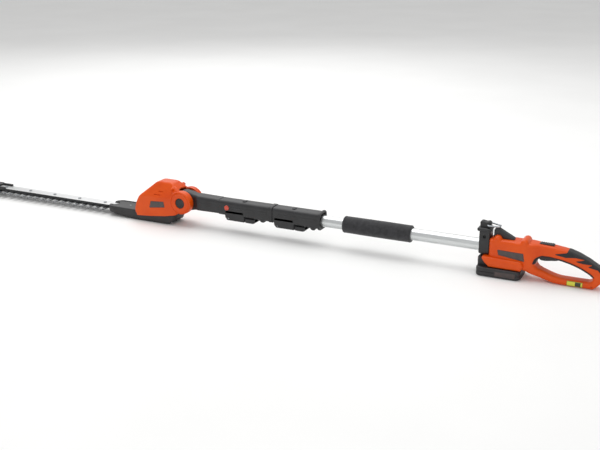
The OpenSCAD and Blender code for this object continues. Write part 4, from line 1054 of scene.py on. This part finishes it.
def bladeLoops():
    t = teeth
    edge = []
    for k in range(t["count"]):
        x = t["first"] - k * t["pitch"]
        edge += [(x + t["root"] / 2, t["strip"], 2), (x + t["tip"] / 2, t["half"], 1.5),
                 (x - t["tip"] / 2, t["half"], 1.5), (x - t["root"] / 2, t["strip"], 2)]
    far = [(x, -y, r) for x, y, r in edge[::-1]]
    outline = ([(t["yokeTo"], t["yokeHalf"], 2), (t["yokeFrom"], t["yokeHalf"], 2),
                (t["yokeFrom"], t["strip"], 3)] + edge
               + [(t["stripEnd"], t["strip"], 3), (t["stripEnd"], -t["strip"], 3)] + far
               + [(t["yokeFrom"], -t["strip"], 3), (t["yokeFrom"], -t["yokeHalf"], 2),
                  (t["yokeTo"], -t["yokeHalf"], 2)])
    slots = [rounded([(x - 11.4, -4.2), (x + 11.4, -4.2), (x + 11.4, 4.2), (x - 11.4, 4.2)], 4.19, 2)
             for x in guideX + [-140, -190]]
    yokeSlot = rectangle(-87 - 15.7, -87 + 15.7, -21.5, 21.5, 1)
    return [rounded(outline, 0, 5), *slots, yokeSlot]


def buildBlades():
    t = teeth
    loops = bladeLoops()
    outer = sidesOf(loops[0])
    for node, low, high, groundTop in (("upper_blade", -53.15, -51.15, True),
                                       ("lower_blade", -55.3, -53.3, False)):
        if groundTop:
            top, bottom = crown(high, t["ground"], t["drop"], rim=outer, slope=True), low
        else:
            bevel = crown(-low, t["ground"], t["drop"], rim=outer, slope=True)
            top, bottom = high, lambda p, d: -bevel(p, d)
        made = solid(loops, top, bottom, fromAbove(pivotAt), t["ground"], step=9)
        makePiece("ground_" + node, [made], bladeMetal, node,
                  [node, node.replace("blade", "teeth")], sharp=12)


# Rooms: where each starts, its bottom, its top and its half width
guard = {"front": -702, "rear": -674, "half": 26, "corner": 9, "topZ": -38, "barRoom": (-692, -51, -43, 16.0),
         "bladeRoom": (-681.4, -56.5, -49.9, 15.0), "armFront": -676, "armRear": -638, "armIn": 13.3,
         "armOut": 20.7}


def buildTipGuard():
    g = guard
    x0, x1, r = g["front"], g["rear"], g["corner"]
    outline = rounded([(x0, -59), (x1, -59, 2), (x1, -56.6, 0), (x1, -56.4, 0), (x1, -50, 0), (x1, -49.8, 0),
                       (x1, g["topZ"]), (x0, g["topZ"])], 3)

    def halfAt(points):
        x = points[:, 0]
        past = np.clip(np.maximum(x0 + r - x, x - (x1 - r)), 0, r)
        return g["half"] - r + np.sqrt(np.maximum(r**2 - past**2, 0))

    def inner(points, inset):
        room = np.zeros(len(points))
        for start, low, high, half in (g["barRoom"], g["bladeRoom"]):
            room[inRoom(start, z0=low, z1=high)(points)] = half
        return room
    lines = [rectangle(-681.6, -600, -56.6, -49.8), rectangle(-681.2, -601, -56.4, -50),
             rectangle(-692, -600, -51, -43)]
    parts = pair([outline], crown(halfAt, 4, 3), inner, pivotAt, 4, guides=lines)
    for s in (-1, 1):
        arm = rounded([(g["armRear"], g["armIn"] * s, 3), (g["armFront"], g["armIn"] * s, 0),
                       (g["armFront"], g["armOut"] * s, 0), (g["armRear"], g["armOut"] * s, 3)], 0)
        parts.append(solid([arm], crown(g["topZ"], 2, 2), -43.0, fromAbove(pivotAt), 2))
    makePiece("tip_cap", parts, black, "head", ["tip_guard"])


for stage in (buildHandleShells, buildGripSkin, buildHandleFittings, buildStrapBracket, buildRing,
              buildBattery, buildFoam, buildCouplers, buildReleaseButton, buildNeck, buildHeadShells,
              buildTiltButton, buildGearCase, buildBlades, buildTipGuard):
    stage()
    print("built:", stage.__name__)


# ---- CAD pieces that keep their shape ----

finishes = {
    "drawnAluminium": (tubeMetal, ["pole_tube", "middle_tube"], 0),
    "zincPlate": (zinc, ["handle_screws", "trigger_pin", "trigger_spring", "lock_off_spring",
                         "bracket_screw", "rear_lever_pin", "front_lever_pin", "neck_screws",
                         "pivot_axle", "pivot_washers", "head_screws", "tilt_spring", "skid_screws",
                         "motor_plate", "crank_axle", "blade_bolts", "blade_guides"], 0.3),
    "rolledSteel": (canMetal, ["motor", "motor_shaft", "crank_gear"], 0.3),
    "turnedBrass": (brass, ["motor_pinion"], 0),
    # The guide bar gets painted shade on its sides and a painted highlight on its top
    "shadedLitBar": (paintedLightBarMetal, ["guide_bar"], 0.5),
    "nylonBlack": (black, ["switch_body", "battery_contacts"], 0.4),
    "gripRubber": (rubber, ["coiled_lead"], 0),
    "boardGreen": (board, ["control_board"], 0.2),
    "wrapGreen": (wrap, ["battery_cells"], 0.8),
}


def finishNodes():
    for material, names, bevel in finishes.values():
        for name in names:
            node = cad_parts[name]
            node.data.materials.clear()
            node.data.materials.append(material)
            if bevel:
                weld = node.modifiers.new("weld", "WELD")
                weld.merge_threshold = 0.01 * mm
                soft = node.modifiers.new("edges", "BEVEL")
                soft.width = bevel * mm
                soft.segments = 2
                soft.limit_method = "ANGLE"
                soft.angle_limit = math.radians(40)


finishNodes()
print("CAD pieces finished")


def makeFloor():
    bpy.ops.mesh.primitive_plane_add(size=studio["floorSize"])
    floor = bpy.context.object
    floor.name = "floor"
    paper, tree, shader, coords = startMaterial("paperFloor", {"Roughness": 0.9})
    tone = mottled(tree, coords, studio["floorDark"], studio["floor"], studio["floorPatch"])
    tree.links.new(tone, shader.inputs["Base Color"])
    floor.data.materials.append(paper)


makeFloor()
